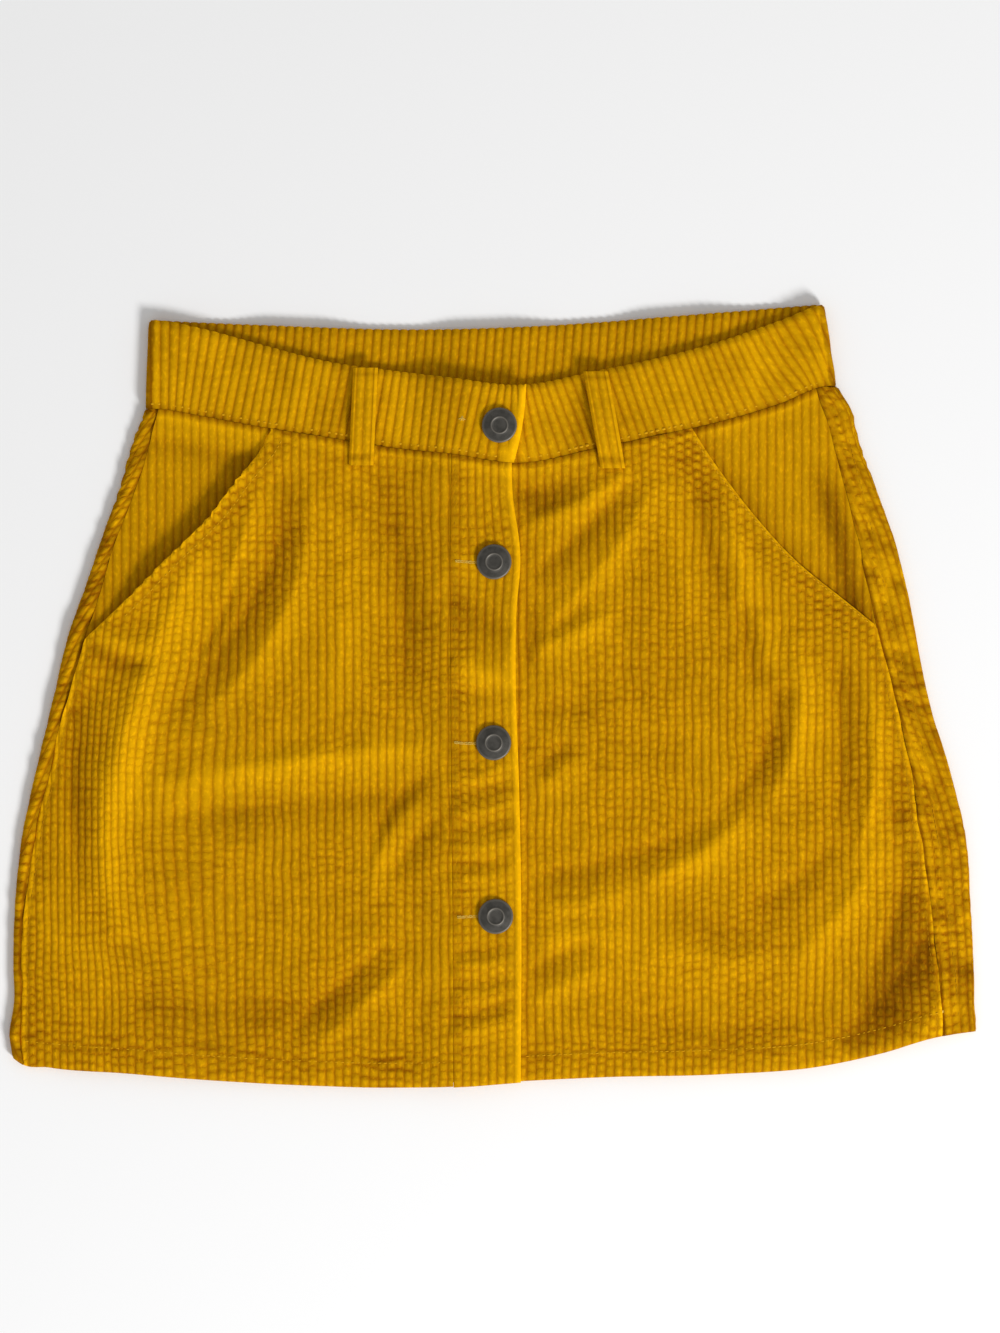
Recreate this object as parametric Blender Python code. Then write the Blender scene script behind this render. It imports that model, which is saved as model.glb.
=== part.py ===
"""A-line mini skirt in jumbo corduroy, with a lapped button front, lying flat on its back.

+X runs to the right of the skirt as seen from the front, +Y towards the waist, and +Z up from the
surface that it lies on. Left and right are the viewer's. The origin is the middle of the outline,
on the surface. Every piece is a wall of cloth of its own: two fronts, a button placket, one back that
wraps round both side folds, two pocket facings, one waistband strip, five belt loops, four buttons.
"""

import math
from collections import namedtuple

import bmesh
import bpy
import numpy as np

MM = 0.001

# Thicknesses and clearances, in millimetres, as are all lengths up to the meshes themselves.
CLOTH = 1.8
BAND = 3.0
PLACKET = 2.4
LOOP = 1.8
LAYER_GAP = 0.3
SEAM_GAP = 0.4
FOLD_GAP = 0.8
HEM_DEPTH = 12.0
HEM_EXTRA = 0.9

# Heights of the middle of each cloth over the surface.
BACK_MID = CLOTH / 2
SIDE_MID = CLOTH + FOLD_GAP + CLOTH / 2
FRONT_MID = 5.8
UNDERLAP_DROP = 0.9
PLACKET_MID = FRONT_MID - UNDERLAP_DROP + CLOTH / 2 + LAYER_GAP + PLACKET / 2
BAND_BACK_MID = BAND / 2
BAND_SIDE_MID = BAND + FOLD_GAP + BAND / 2
BAND_FRONT_MID = 5.8
BAND_LAP_MID = BAND_FRONT_MID + BAND + LAYER_GAP
SIDE_RUN = 35.0

# A rise or a dip is a height, the place where it starts and the length that it takes.
Ramp = namedtuple("Ramp", "height start run")
CLIMB_TO_PLACKET = Ramp(1.0, -45.0, 25.0)
CLIMB_TO_BAND = Ramp(1.2, 88.0, 28.0)
DIP_UNDER_LAP = Ramp(UNDERLAP_DROP, 32.0, 17.0)
CLIMB_OF_BAND = Ramp(BAND_LAP_MID - BAND_FRONT_MID, -46.0, 24.0)
BESIDE_POCKET = Ramp(1.0, 14.0, 24.0)
OFF_FACING = Ramp(1.0, 3.0, 15.0)
BACK_HEM = Ramp(1.6, 232.0, 40.0)

# The side folds and side seams, by height.
Side = namedtuple("Side", "y left_fold left_seam right_seam right_fold")
SIDES = (
    Side(151.0, -167.5, -158.6, 157.0, 167.6),
    Side(139.3, -168.6, -161.3, 160.6, 174.6),
    Side(126.0, -173.8, -165.0, 164.6, 177.9),
    Side(100.0, -181.4, -173.8, 171.6, 187.0),
    Side(78.0, -189.2, -181.6, 177.0, 194.8),
    Side(55.0, -196.9, -189.2, 182.2, 200.9),
    Side(31.0, -205.4, -196.8, 187.8, 205.7),
    Side(0.0, -212.9, -205.8, 195.8, 211.7),
    Side(-40.0, -222.4, -215.5, 203.8, 223.5),
    Side(-70.0, -228.6, -222.5, 208.2, 230.4),
    Side(-100.0, -231.6, -227.0, 213.0, 232.4),
    Side(-130.0, -232.4, -228.2, 216.6, 234.0),
    Side(-150.0, -232.2, -228.2, 218.2, 234.4),
    Side(-164.0, -234.6, -229.2, 219.0, 235.4),
    Side(-178.0, -232.4, -228.0, 219.4, 234.6),
)

# The waistband's edges and the two waist seams, across the skirt. The front dips below the back.
Across = namedtuple("Across", "x back_top back_seam front_top front_seam")
WAIST = (
    Across(-168.0, 182.4, 139.3, 182.4, 139.3),
    Across(-162.5, 182.3, 139.3, 182.3, 139.3),
    Across(-140.0, 181.3, 139.3, 178.0, 135.8),
    Across(-110.0, 180.0, 139.0, 169.8, 130.2),
    Across(-80.0, 178.8, 138.5, 162.2, 125.5),
    Across(-50.0, 178.1, 138.1, 158.0, 120.7),
    Across(-20.0, 178.1, 138.0, 154.2, 117.4),
    Across(12.0, 179.1, 138.5, 150.6, 113.0),
    Across(50.0, 181.4, 140.2, 157.6, 120.0),
    Across(80.0, 183.7, 142.5, 163.7, 126.3),
    Across(110.0, 186.1, 145.0, 171.7, 133.0),
    Across(140.0, 188.6, 148.0, 182.2, 142.0),
    Across(162.5, 190.2, 150.4, 190.2, 150.4),
    Across(168.0, 190.4, 150.4, 190.4, 150.4),
)

Hem = namedtuple("Hem", "x y")
HEM = (
    Hem(-234.0, -177.5),
    Hem(-215.0, -180.4),
    Hem(-180.0, -183.0),
    Hem(-135.0, -186.6),
    Hem(-90.0, -189.0),
    Hem(-50.0, -190.0),
    Hem(-15.0, -189.2),
    Hem(20.0, -186.6),
    Hem(60.0, -184.8),
    Hem(110.0, -183.6),
    Hem(158.0, -179.9),
    Hem(190.0, -173.2),
    Hem(214.0, -166.0),
    Hem(236.0, -162.6),
)

# The slanted pocket mouths, by height. Past the side seams the rows only carry the slope on.
Mouth = namedtuple("Mouth", "y left right")
MOUTHS = (
    Mouth(132.0, -105.8, 95.6),
    Mouth(118.0, -112.6, 104.4),
    Mouth(104.0, -124.0, 114.4),
    Mouth(87.0, -136.8, 127.8),
    Mouth(62.6, -161.5, 150.8),
    Mouth(47.0, -176.8, 170.4),
    Mouth(32.0, -192.6, 189.0),
    Mouth(0.0, -227.0, 228.0),
    Mouth(-200.0, -440.0, 444.0),
)

# The inner edge of each pocket facing, a straight line from waist seam to side seam.
Facing = namedtuple("Facing", "x_top y_top x_foot y_foot")
FACINGS = {
    "left": Facing(-72.0, 124.2, -184.0, 26.0),
    "right": Facing(63.0, 122.6, 173.0, 29.0),
}

# The lap: the placket's stitched side and free edge, by height.
Lap = namedtuple("Lap", "y stitched edge")
LAP = (
    Lap(118.0, -19.6, 9.6),
    Lap(100.0, -19.8, 9.9),
    Lap(67.0, -20.2, 13.8),
    Lap(40.0, -20.2, 11.8),
    Lap(5.0, -20.0, 11.6),
    Lap(-45.0, -19.6, 13.2),
    Lap(-100.0, -19.0, 14.2),
    Lap(-190.0, -18.6, 14.0),
)
UNDERLAP_END = -17.0
BAND_LAP_TOP_X = 19.0
BAND_LAP_FOOT_X = 10.8
BAND_UNDERLAP_END = -19.0
PLACKET_SHORTER = 0.4

# The waistband's two side folds, at its upper and its lower edge.
BAND_FOLD_LEFT = (-166.8, -168.4)
BAND_FOLD_RIGHT = (161.6, 167.4)

# The largest soft folds of the fronts: a curve through three points, its half width and its rise.
Fold = namedtuple("Fold", "name x0 y0 x1 y1 x2 y2 width rise")
FOLDS = (
    Fold("left hip ridge", -146, 34, -176, -25, -184, -110, 13, 0.75),
    Fold("left hip trough", -203, 0, -203, -40, -200, -82, 9, -0.6),
    Fold("left dart fold", -97, 95, -98, 40, -134, -2, 9, -0.55),
    Fold("left panel trough", -52, 92, -34, 50, -38, -5, 10, -0.5),
    Fold("left cross ridge", -152, -47, -90, -42, -42, -33, 10, 0.7),
    Fold("left lower crease", -48, -110, -70, -135, -90, -163, 9, -0.7),
    Fold("placket bulge", -8, 30, -4, 8, 2, -14, 16, 0.6),
    Fold("right fan ridge", 18, 72, 40, 84, 58, 100, 9, 0.6),
    Fold("right fan trough", 24, 42, 44, 66, 66, 90, 9, -0.55),
    Fold("right panel sweep", 22, -95, 80, -85, 132, -20, 11, -0.7),
    Fold("right panel ridge", 116, -56, 114, -80, 86, -96, 10, 0.65),
    Fold("right hem trough", 206, -105, 198, -125, 180, -146, 13, -0.5),
    Fold("right hem ridge", 180, -85, 172, -110, 140, -140, 12, 0.6),
)

# Belt loops: the two ends of the centre line of each front one, and the place of each back one.
FrontLoop = namedtuple("FrontLoop", "x_top x_foot reach")
FRONT_LOOPS = {
    "left": FrontLoop(-61.2, -63.4, 11.0),
    "right": FrontLoop(50.2, 58.6, 11.4),
}
BACK_LOOPS = {"left": -92.0, "centre": 0.0, "right": 92.0}
LOOP_WIDTH = 12.0
LOOP_REACH = 10.5
LOOP_BOW = 0.9
LIFT_MARGIN = 5.0
LIFT_RAMP = 26.0

LOOP_TRIM = 0.4
LOOP_TRIM_BACK = 0.6
LOOP_ROUNDING = 0.25

# Tack buttons, from the waistband down.
Button = namedtuple("Button", "x y hole_length")
BUTTONS = (
    Button(3.6, 131.0, 18.5),
    Button(1.0, 65.0, 18.5),
    Button(0.8, -22.6, 18.8),
    Button(1.8, -106.7, 18.4),
)
BUTTON_RADIUS = 8.5
BUTTON_SIDES = 22
SHANK_RADIUS = 1.5
TACK_RADIUS = 4.5
TACK_THICKNESS = 0.7
CAP_GAP = 0.4
SLIT_WIDTH = 1.1
SLIT_CLEARANCE = 0.06
CUT_PAST = 2.0
BORE_BELOW = 0.6

# Where each sheet's mesh has its rows and columns, and first guesses for its corner heights.
FRONT_LENGTH = 310.0
POCKET_CORNER = 0.32
UNDERLAP_SHARE = 0.24
HEM_STEP = 0.002
FRONT_GUESSES = (125.0, -180.0)
PLACKET_GUESSES = (112.0, -186.0)
BACK_GUESSES = (145.0, -170.0)
FOLD_ANGLES = [math.radians(angle) for angle in (60, 30, 0, -30, -60)]
NEAR_FOLD = np.array([15.0, 10.0, 5.0, 0.0])
OFF_FOLD = 20.0
LAP_BREAK = -48.0
UNDERLAP_BREAK = 36.0

MUSTARD = (0.58, 0.30, 0.008, 1.0)
GUNMETAL = (0.05, 0.05, 0.055, 1.0)


def ease(t):
    """A soft step from 0 to 1 as t goes from 0 to 1."""
    t = np.clip(t, 0.0, 1.0)
    return t * t * (3.0 - 2.0 * t)


def through(rows, along, column):
    """A smooth curve through one column of a table, as a function of another column."""
    rows = sorted(rows, key=lambda row: getattr(row, along))
    x = np.array([getattr(row, along) for row in rows], float)
    y = np.array([getattr(row, column) for row in rows], float)
    slope = np.gradient(y, x)

    def curve(at):
        at = np.asarray(at, float)
        i = np.clip(np.searchsorted(x, at) - 1, 0, len(x) - 2)
        step = x[i + 1] - x[i]
        t = np.clip((at - x[i]) / step, 0.0, 1.0)
        rise = (3 - 2 * t) * t * t
        leave = t * (1 - t) ** 2 * step * slope[i]
        arrive = t * t * (t - 1) * step * slope[i + 1]
        return y[i] * (1 - rise) + y[i + 1] * rise + leave + arrive

    return curve


fold_left = through(SIDES, "y", "left_fold")
fold_right = through(SIDES, "y", "right_fold")
seam_left = through(SIDES, "y", "left_seam")
seam_right = through(SIDES, "y", "right_seam")
back_top = through(WAIST, "x", "back_top")
back_seam = through(WAIST, "x", "back_seam")
front_top = through(WAIST, "x", "front_top")
front_seam = through(WAIST, "x", "front_seam")
hem = through(HEM, "x", "y")
mouth_left = through(MOUTHS, "y", "left")
mouth_right = through(MOUTHS, "y", "right")
placket_seam = through(LAP, "y", "stitched")
placket_edge = through(LAP, "y", "edge")


def folds(x, y):
    """Height that the large soft folds add to the fronts."""
    total = np.zeros(np.broadcast(x, y).shape)
    for fold in FOLDS:
        strongest = np.zeros_like(total)
        for s in np.linspace(0.04, 0.96, 24):
            px = (1 - s) ** 2 * fold.x0 + 2 * s * (1 - s) * fold.x1 + s * s * fold.x2
            py = (1 - s) ** 2 * fold.y0 + 2 * s * (1 - s) * fold.y1 + s * s * fold.y2
            away = ((x - px) ** 2 + (y - py) ** 2) / fold.width**2
            strongest = np.maximum(strongest, math.sqrt(math.sin(math.pi * s)) * np.exp(-away))
        total += fold.rise * strongest
    return total


def lift(x, y):
    """Height that everything over a back belt loop is raised by, easing off around it."""
    total = np.zeros(np.broadcast(x, y).shape)
    for centre in BACK_LOOPS.values():
        foot = back_seam(centre) - LOOP_REACH
        beside = 1 - ease((np.abs(x - centre) - LOOP_WIDTH / 2 - LIFT_MARGIN) / LIFT_RAMP)
        below = 1 - ease((foot - LIFT_MARGIN - y) / LIFT_RAMP)
        total = np.maximum(total, (LOOP + LAYER_GAP) * beside * below)
    return total


def crown(x, y):
    """0 at the side folds, 1 a hand's breadth in, where the front lies at its full height."""
    inside = np.minimum(x - fold_left(y), fold_right(y) - x)
    return ease(inside / SIDE_RUN)


def over_facing(x, y):
    """1 where a front lies over a pocket facing, easing to 0 past the facing's inner edge."""
    weight = 0.0
    for side, facing in FACINGS.items():
        along = np.array([facing.x_foot - facing.x_top, facing.y_foot - facing.y_top])
        along /= np.linalg.norm(along)
        outward = np.array([-along[1], along[0]]) * (1 if side == "left" else -1)
        past = (x - facing.x_top) * outward[0] + (y - facing.y_top) * outward[1]
        near = x < 0 if side == "left" else x > 0
        weight = weight + (1 - ease((past - OFF_FACING.start) / OFF_FACING.run)) * near
    return weight


def climb_to_band(y):
    """How much higher the lap lies where it goes over the waistband's end."""
    return CLIMB_TO_BAND.height * ease((y - CLIMB_TO_BAND.start) / CLIMB_TO_BAND.run)


def wrap_level(x, y):
    """Middle of the back's cloth where it has come round a side fold to the front."""
    beside_pocket = ease((y - BESIDE_POCKET.start) / BESIDE_POCKET.run)
    rise = crown(x, y) * (1 - beside_pocket)
    return SIDE_MID + (FRONT_MID - SIDE_MID) * rise + (folds(x, y) + lift(x, y))


def front_level(x, y):
    """Middle of a front's cloth."""
    rise = np.maximum(crown(x, y), over_facing(x, y))
    return SIDE_MID + (FRONT_MID - SIDE_MID) * rise + folds(x, y) + lift(x, y)


def front_left_level(x, y):
    """The left front climbs to the placket, and more so beside the waistband's lap."""
    beside = ease((x - CLIMB_TO_PLACKET.start) / CLIMB_TO_PLACKET.run)
    return front_level(x, y) + beside * (CLIMB_TO_PLACKET.height + climb_to_band(y))


def front_right_level(x, y):
    """The right front dips to pass under the placket."""
    dip = DIP_UNDER_LAP.height * ease((DIP_UNDER_LAP.start - x) / DIP_UNDER_LAP.run)
    return front_level(x, y) - dip


def placket_level(x, y):
    """Middle of the placket, which lies on the right front's underlap."""
    return front_level(x, y) + (PLACKET_MID - FRONT_MID) + climb_to_band(y)


def facing_level(x, y):
    """Middle of a pocket facing, which follows half the depth of a trough over it."""
    return SIDE_MID + np.minimum(folds(x, y), 0) * 0.5 + lift(x, y)


def band_front_level(x, y, lapped):
    """Middle of the waistband's front; its lapped end climbs over its other end."""
    inside = np.minimum(x - fold_left(y), fold_right(y) - x)
    level = BAND_SIDE_MID + (BAND_FRONT_MID - BAND_SIDE_MID) * ease(inside / SIDE_RUN)
    if lapped:
        level = level + CLIMB_OF_BAND.height * ease((x - CLIMB_OF_BAND.start) / CLIMB_OF_BAND.run)
    return level + lift(x, y)


def band_back_level(x, y):
    """Middle of the waistband's back, which lies on the surface."""
    return BAND_BACK_MID + lift(x, y)


def down_line(x_of_y, y_top, y_foot):
    """An edge that runs down the skirt, as a function from 0..1 to points."""

    def edge(v):
        y = y_top + (y_foot - y_top) * v
        return np.stack([x_of_y(y), y], axis=-1)

    return edge


def across_line(x_start, x_end, y_of_x):
    """An edge that runs across the skirt, as a function from 0..1 to points."""

    def edge(t):
        x = x_start + (x_end - x_start) * t
        return np.stack([x, y_of_x(x)], axis=-1)

    return edge


def corner_height(x_of_y, y_of_x, y):
    """Height at which an edge down the skirt meets an edge across it, from a first guess."""
    for _ in range(12):
        y = y_of_x(x_of_y(y))
    return float(y)


def sheet(edges, ends, guesses, across, down):
    """A grid of (x, y) points between two edges down the skirt and two ends across it."""
    y_top, y_foot = ends
    guess_top, guess_foot = guesses
    sides = []
    for x_of_y in edges:
        high = corner_height(x_of_y, y_top, guess_top)
        low = corner_height(x_of_y, y_foot, guess_foot)
        sides.append(down_line(x_of_y, high, low)(down)[:, None])
    left, right = sides
    top = across_line(left[0, 0, 0], right[0, 0, 0], y_top)(across)[None]
    foot = across_line(left[-1, 0, 0], right[-1, 0, 0], y_foot)(across)[None]
    t = across[None, :, None]
    v = down[:, None, None]
    corners = (1 - v) * ((1 - t) * left[0] + t * right[0])
    corners = corners + v * ((1 - t) * left[-1] + t * right[-1])
    return (1 - t) * left + t * right + (1 - v) * top + v * foot - corners


def hem_thickening(x, y, edge):
    """Extra cloth of the turned-up hem, on the inner side, fading towards the side folds."""
    return HEM_EXTRA * (y < edge + HEM_DEPTH) * crown(x, y)


def material(name, colour, metallic, roughness):
    """The material of this name, made on first use."""
    found = bpy.data.materials.get(name)
    if found:
        return found
    made = bpy.data.materials.new(name)
    made.use_nodes = True
    shader = made.node_tree.nodes["Principled BSDF"]
    shader.inputs["Base Color"].default_value = colour
    shader.inputs["Metallic"].default_value = metallic
    shader.inputs["Roughness"].default_value = roughness
    made.diffuse_color = colour
    return made


def add_object(name, points, faces, finish):
    """A mesh object from points in millimetres, with its faces turned to point out."""
    mesh = bpy.data.meshes.new(name)
    mesh.from_pydata((np.asarray(points) * MM).tolist(), [], faces)
    form = bmesh.new()
    form.from_mesh(mesh)
    bmesh.ops.recalc_face_normals(form, faces=form.faces)
    if form.calc_volume(signed=True) < 0:
        bmesh.ops.reverse_faces(form, faces=form.faces)
    form.to_mesh(mesh)
    form.free()
    mesh.shade_smooth()
    mesh.set_sharp_from_angle(angle=math.radians(40))
    mesh.materials.append(finish)
    piece = bpy.data.objects.new(name, mesh)
    bpy.context.scene.collection.objects.link(piece)
    return piece


def wall(name, middle, out, outer, inner, finish_name):
    """A closed wall of cloth from a grid of points down its middle.

    out is the direction of the wall's outer face at each point, and outer and inner are the
    distances from the middle to its two faces.
    """
    rows, columns = middle.shape[:2]
    out = np.broadcast_to(out, middle.shape)
    outer = np.broadcast_to(outer, (rows, columns))[..., None]
    inner = np.broadcast_to(inner, (rows, columns))[..., None]
    faces_out = (middle + out * outer).reshape(-1, 3)
    faces_in = (middle - out * inner).reshape(-1, 3)
    count = rows * columns
    faces = []
    for i in range(rows - 1):
        for j in range(columns - 1):
            a = i * columns + j
            quad = (a, a + 1, a + columns + 1, a + columns)
            faces.append(quad)
            faces.append(tuple(count + k for k in reversed(quad)))
    rim = [(0, j) for j in range(columns)]
    rim += [(i, columns - 1) for i in range(1, rows)]
    rim += [(rows - 1, j) for j in range(columns - 2, -1, -1)]
    rim += [(i, 0) for i in range(rows - 2, 0, -1)]
    for (i0, j0), (i1, j1) in zip(rim, rim[1:] + rim[:1]):
        a = i0 * columns + j0
        b = i1 * columns + j1
        faces.append((b, a, count + a, count + b))
    finish = material(finish_name, MUSTARD, 0.0, 0.9)
    return add_object(name, np.vstack([faces_out, faces_in]), faces, finish)


def lay_panel(name, flat, level, thickness, foot_extra=0.0):
    """A panel whose middle lies at the given level over a grid of (x, y) points."""
    x = flat[..., 0]
    y = flat[..., 1]
    middle = np.dstack([x, y, level(x, y)])
    return wall(name, middle, (0, 0, 1), thickness / 2, thickness / 2 + foot_extra, name + "_cord")


def front_rows(upper, lower):
    """Steps down a front: even above and below the pocket corner, with two at the hem's turn."""
    hem_turn = 1 - HEM_DEPTH / FRONT_LENGTH
    above = np.linspace(0, POCKET_CORNER, upper)
    below = np.linspace(POCKET_CORNER, hem_turn, lower)[1:]
    return np.concatenate([above, below, [hem_turn + HEM_STEP, 1.0]])


def under_band(x):
    """Upper edge of the fronts, along the waistband's lower edge."""
    return front_seam(x) - SEAM_GAP


def under_band_back(x):
    """Upper edge of the back, along the waistband's lower edge."""
    return back_seam(x) - SEAM_GAP


def inside_seam_left(y):
    """Outer edge of what is sewn to the back at the left side seam."""
    return seam_left(y) + SEAM_GAP


def inside_seam_right(y):
    """Outer edge of what is sewn to the back at the right side seam."""
    return seam_right(y) - SEAM_GAP


def front_left_edge(y):
    """The left pocket's mouth, and the side seam below it."""
    return np.maximum(mouth_left(y), inside_seam_left(y))


def front_right_edge(y):
    """The right pocket's mouth, and the side seam below it."""
    return np.minimum(mouth_right(y), inside_seam_right(y))


def beside_placket(y):
    """Inner edge of the left front, along the placket."""
    return placket_seam(y) - SEAM_GAP


def underlap_edge(y):
    """Inner edge of the right front, hidden under the placket."""
    return UNDERLAP_END + 0.0 * y


def placket_foot(x):
    """Lower end of the placket, a little above the hem."""
    return hem(x) - PLACKET_SHORTER


def lay_front(name, edges, level, across):
    """A front with the turned-up hem's extra cloth along its foot."""
    flat = sheet(edges, (under_band, hem), FRONT_GUESSES, across, front_rows(8, 13))
    x = flat[..., 0]
    y = flat[..., 1]
    lay_panel(name, flat, level, CLOTH, hem_thickening(x, y, hem(x)))


def fronts_and_placket():
    """The two fronts, and the folded strip that carries the buttonholes."""
    lay_front("front_left", (front_left_edge, beside_placket), front_left_level, np.linspace(0, 1, 16))

    under_lap = np.linspace(0, UNDERLAP_SHARE, 7)
    past_lap = np.linspace(UNDERLAP_SHARE, 1, 13)[1:]
    steps = np.concatenate([under_lap, past_lap])
    lay_front("front_right", (underlap_edge, front_right_edge), front_right_level, steps)

    edges = (placket_seam, placket_edge)
    ends = (under_band, placket_foot)
    flat = sheet(edges, ends, PLACKET_GUESSES, np.linspace(0, 1, 5), np.linspace(0, 1, 31))
    lay_panel("placket", flat, placket_level, PLACKET)


def facing_shape(side, facing):
    """Edges and ends of a pocket facing, which runs in from its side seam under the front."""
    slope = (facing.x_foot - facing.x_top) / (facing.y_foot - facing.y_top)

    def inner(y):
        return facing.x_top + slope * (y - facing.y_top)

    def foot(x):
        return facing.y_foot + 0.0 * x

    edges = (inside_seam_left, inner) if side == "left" else (inner, inside_seam_right)
    return edges, (under_band, foot)


def pocket_facings():
    """Each facing fills its slanted mouth."""
    for side, facing in FACINGS.items():
        edges, ends = facing_shape(side, facing)
        guesses = (facing.y_top, facing.y_foot)
        flat = sheet(edges, ends, guesses, np.linspace(0, 1, 10), np.linspace(0, 1, 13))
        lay_panel("pocket_facing_" + side, flat, facing_level, CLOTH)


class Section:
    """One row of a strip that goes round the side folds: its points, and the way out at each."""

    def __init__(self):
        self.points = []
        self.outs = []

    def lay(self, xs, ys, level, up):
        """Points at a level, whose outer face looks up or down."""
        for x, y in zip(xs, ys):
            self.points.append((x, y, float(level(x, y))))
            self.outs.append((0, 0, up))

    def turn(self, x_run, y, sign, radius, low, angles):
        """Points round a side fold, where the cloth turns at the given radius over its low side."""
        for angle in angles:
            x = x_run + sign * radius * math.cos(angle)
            z = low + radius + radius * math.sin(angle)
            self.points.append((x, y, z))
            self.outs.append((sign * math.cos(angle), 0, math.sin(angle)))


def wrap_row(row, seam, end, count):
    """Places from a side seam to the fold, along one row of the back's upper side."""
    x_end, y = row[end]
    for _ in range(6):
        y = np.interp(seam(y), row[:, 0], row[:, 1])
    xs = np.linspace(float(seam(y)), x_end, count)
    return xs, np.interp(xs, row[:, 0], row[:, 1])


def back_hem(x):
    """Hem of the back, a little above the front's, so that it doesn't show."""
    to_side = np.minimum(x + BACK_HEM.start, BACK_HEM.start + 1 - x)
    return hem(x) + BACK_HEM.height * ease(to_side / BACK_HEM.run)


def back_level(x, y):
    """Middle of the back where it lies on the surface."""
    return BACK_MID + lift(x, y)


def back():
    """The back lies on the surface, turns up round both side folds and ends at the side seams."""
    hem_turn = 1 - HEM_DEPTH / FRONT_LENGTH
    rows = np.concatenate([np.linspace(0, hem_turn, 19), [hem_turn + HEM_STEP, 1.0]])
    radius = (SIDE_MID - BACK_MID) / 2
    reach = radius + CLOTH / 2

    def run_left(y):
        return fold_left(y) + reach

    def run_right(y):
        return fold_right(y) - reach

    edges = (run_left, run_right)
    above = sheet(edges, (under_band, hem), BACK_GUESSES, np.linspace(0, 1, 41), rows)
    below = sheet(edges, (under_band_back, back_hem), BACK_GUESSES, np.linspace(0, 1, 35), rows)

    sections = []
    for row_above, row_below in zip(above, below):
        section = Section()
        section.lay(*wrap_row(row_above, seam_left, 0, 3), wrap_level, 1)
        section.turn(*row_below[0], -1, radius, BACK_MID, FOLD_ANGLES)
        section.lay(*row_below.T, back_level, -1)
        section.turn(*row_below[-1], 1, radius, BACK_MID, FOLD_ANGLES[::-1])
        xs, ys = wrap_row(row_above, seam_right, -1, 4)
        section.lay(xs[::-1], ys[::-1], wrap_level, 1)
        sections.append(section)
    middle = np.array([section.points for section in sections], float)
    out = np.array([section.outs for section in sections], float)
    lying = out[..., 2] < -0.99
    extra = hem_thickening(middle[..., 0], middle[..., 1], hem(middle[..., 0])) * lying
    wall("back", middle, out, CLOTH / 2, CLOTH / 2 + extra, "back_cord")


def lapped_level(x, y):
    """Middle of the waistband's lapped front."""
    return band_front_level(x, y, True)


def underlap_level(x, y):
    """Middle of the waistband's other front, whose end goes under the lap."""
    return band_front_level(x, y, False)


def band_section(v, radius, reach):
    """One row of the waistband, at a share v of the way from its upper to its lower edge."""
    x_left = float(np.interp(v, (0, 1), BAND_FOLD_LEFT)) + reach
    x_right = float(np.interp(v, (0, 1), BAND_FOLD_RIGHT)) - reach
    x_lap = float(np.interp(v, (0, 1), (BAND_LAP_TOP_X, BAND_LAP_FOOT_X)))

    def front_y(x):
        return front_top(x) * (1 - v) + front_seam(x) * v

    def back_y(x):
        return back_top(x) * (1 - v) + back_seam(x) * v

    lap = np.linspace(x_lap, LAP_BREAK, 10)
    past_lap = np.linspace(LAP_BREAK, x_left + OFF_FOLD, 11)[1:]
    lap_xs = np.concatenate([lap, past_lap, x_left + NEAR_FOLD])
    back_xs = np.linspace(x_left, x_right, 29)
    past_fold = np.linspace(x_right - OFF_FOLD, UNDERLAP_BREAK, 10)
    underlap = np.linspace(UNDERLAP_BREAK, BAND_UNDERLAP_END, 7)[1:]
    under_xs = np.concatenate([x_right - NEAR_FOLD[::-1], past_fold, underlap])

    section = Section()
    section.lay(lap_xs, front_y(lap_xs), lapped_level, 1)
    section.turn(x_left, float(front_y(x_left)), -1, radius, BAND_BACK_MID, FOLD_ANGLES)
    section.lay(back_xs, back_y(back_xs), band_back_level, -1)
    section.turn(x_right, float(front_y(x_right)), 1, radius, BAND_BACK_MID, FOLD_ANGLES[::-1])
    section.lay(under_xs, front_y(under_xs), underlap_level, 1)
    return section


def waistband():
    """One doubled strip all round, from the lap's end over both side folds to the underlap's end."""
    radius = (BAND_SIDE_MID - BAND_BACK_MID) / 2
    reach = radius + BAND / 2
    sections = [band_section(v, radius, reach) for v in np.linspace(0, 1, 5)]
    middle = np.array([section.points for section in sections], float)
    out = np.array([section.outs for section in sections], float)
    wall("waistband", middle, out, BAND / 2, BAND / 2, "waistband_cord")


def front_belt_loops():
    """Each lies on the waistband and reaches a little past the waist seam, bowed off the cloth."""
    sides = np.array([-1, -0.5, 0.5, 1])
    for side, loop in FRONT_LOOPS.items():
        y_top = float(front_top(loop.x_top)) - LOOP_TRIM
        y_foot = float(front_seam(loop.x_foot)) - loop.reach
        rows = []
        for s in np.linspace(0, 1, 9):
            x = loop.x_top + (loop.x_foot - loop.x_top) * s + LOOP_WIDTH / 2 * sides
            y = y_top + (y_foot - y_top) * s
            on_band = band_front_level(x, y, False).max() + BAND / 2
            on_front = front_level(x, y).max() + CLOTH / 2
            z = on_band + (on_front - on_band) * s + LAYER_GAP + LOOP / 2
            z = z + LOOP_BOW * math.sin(math.pi * s) + LOOP_ROUNDING * (1 - sides**2)
            rows.append(np.stack([x, np.full(len(sides), y), z], axis=-1))
        name = "belt_loop_front_" + side
        wall(name, np.array(rows), (0, 0, 1), LOOP / 2, LOOP / 2, "belt_loop_cord")


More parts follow.
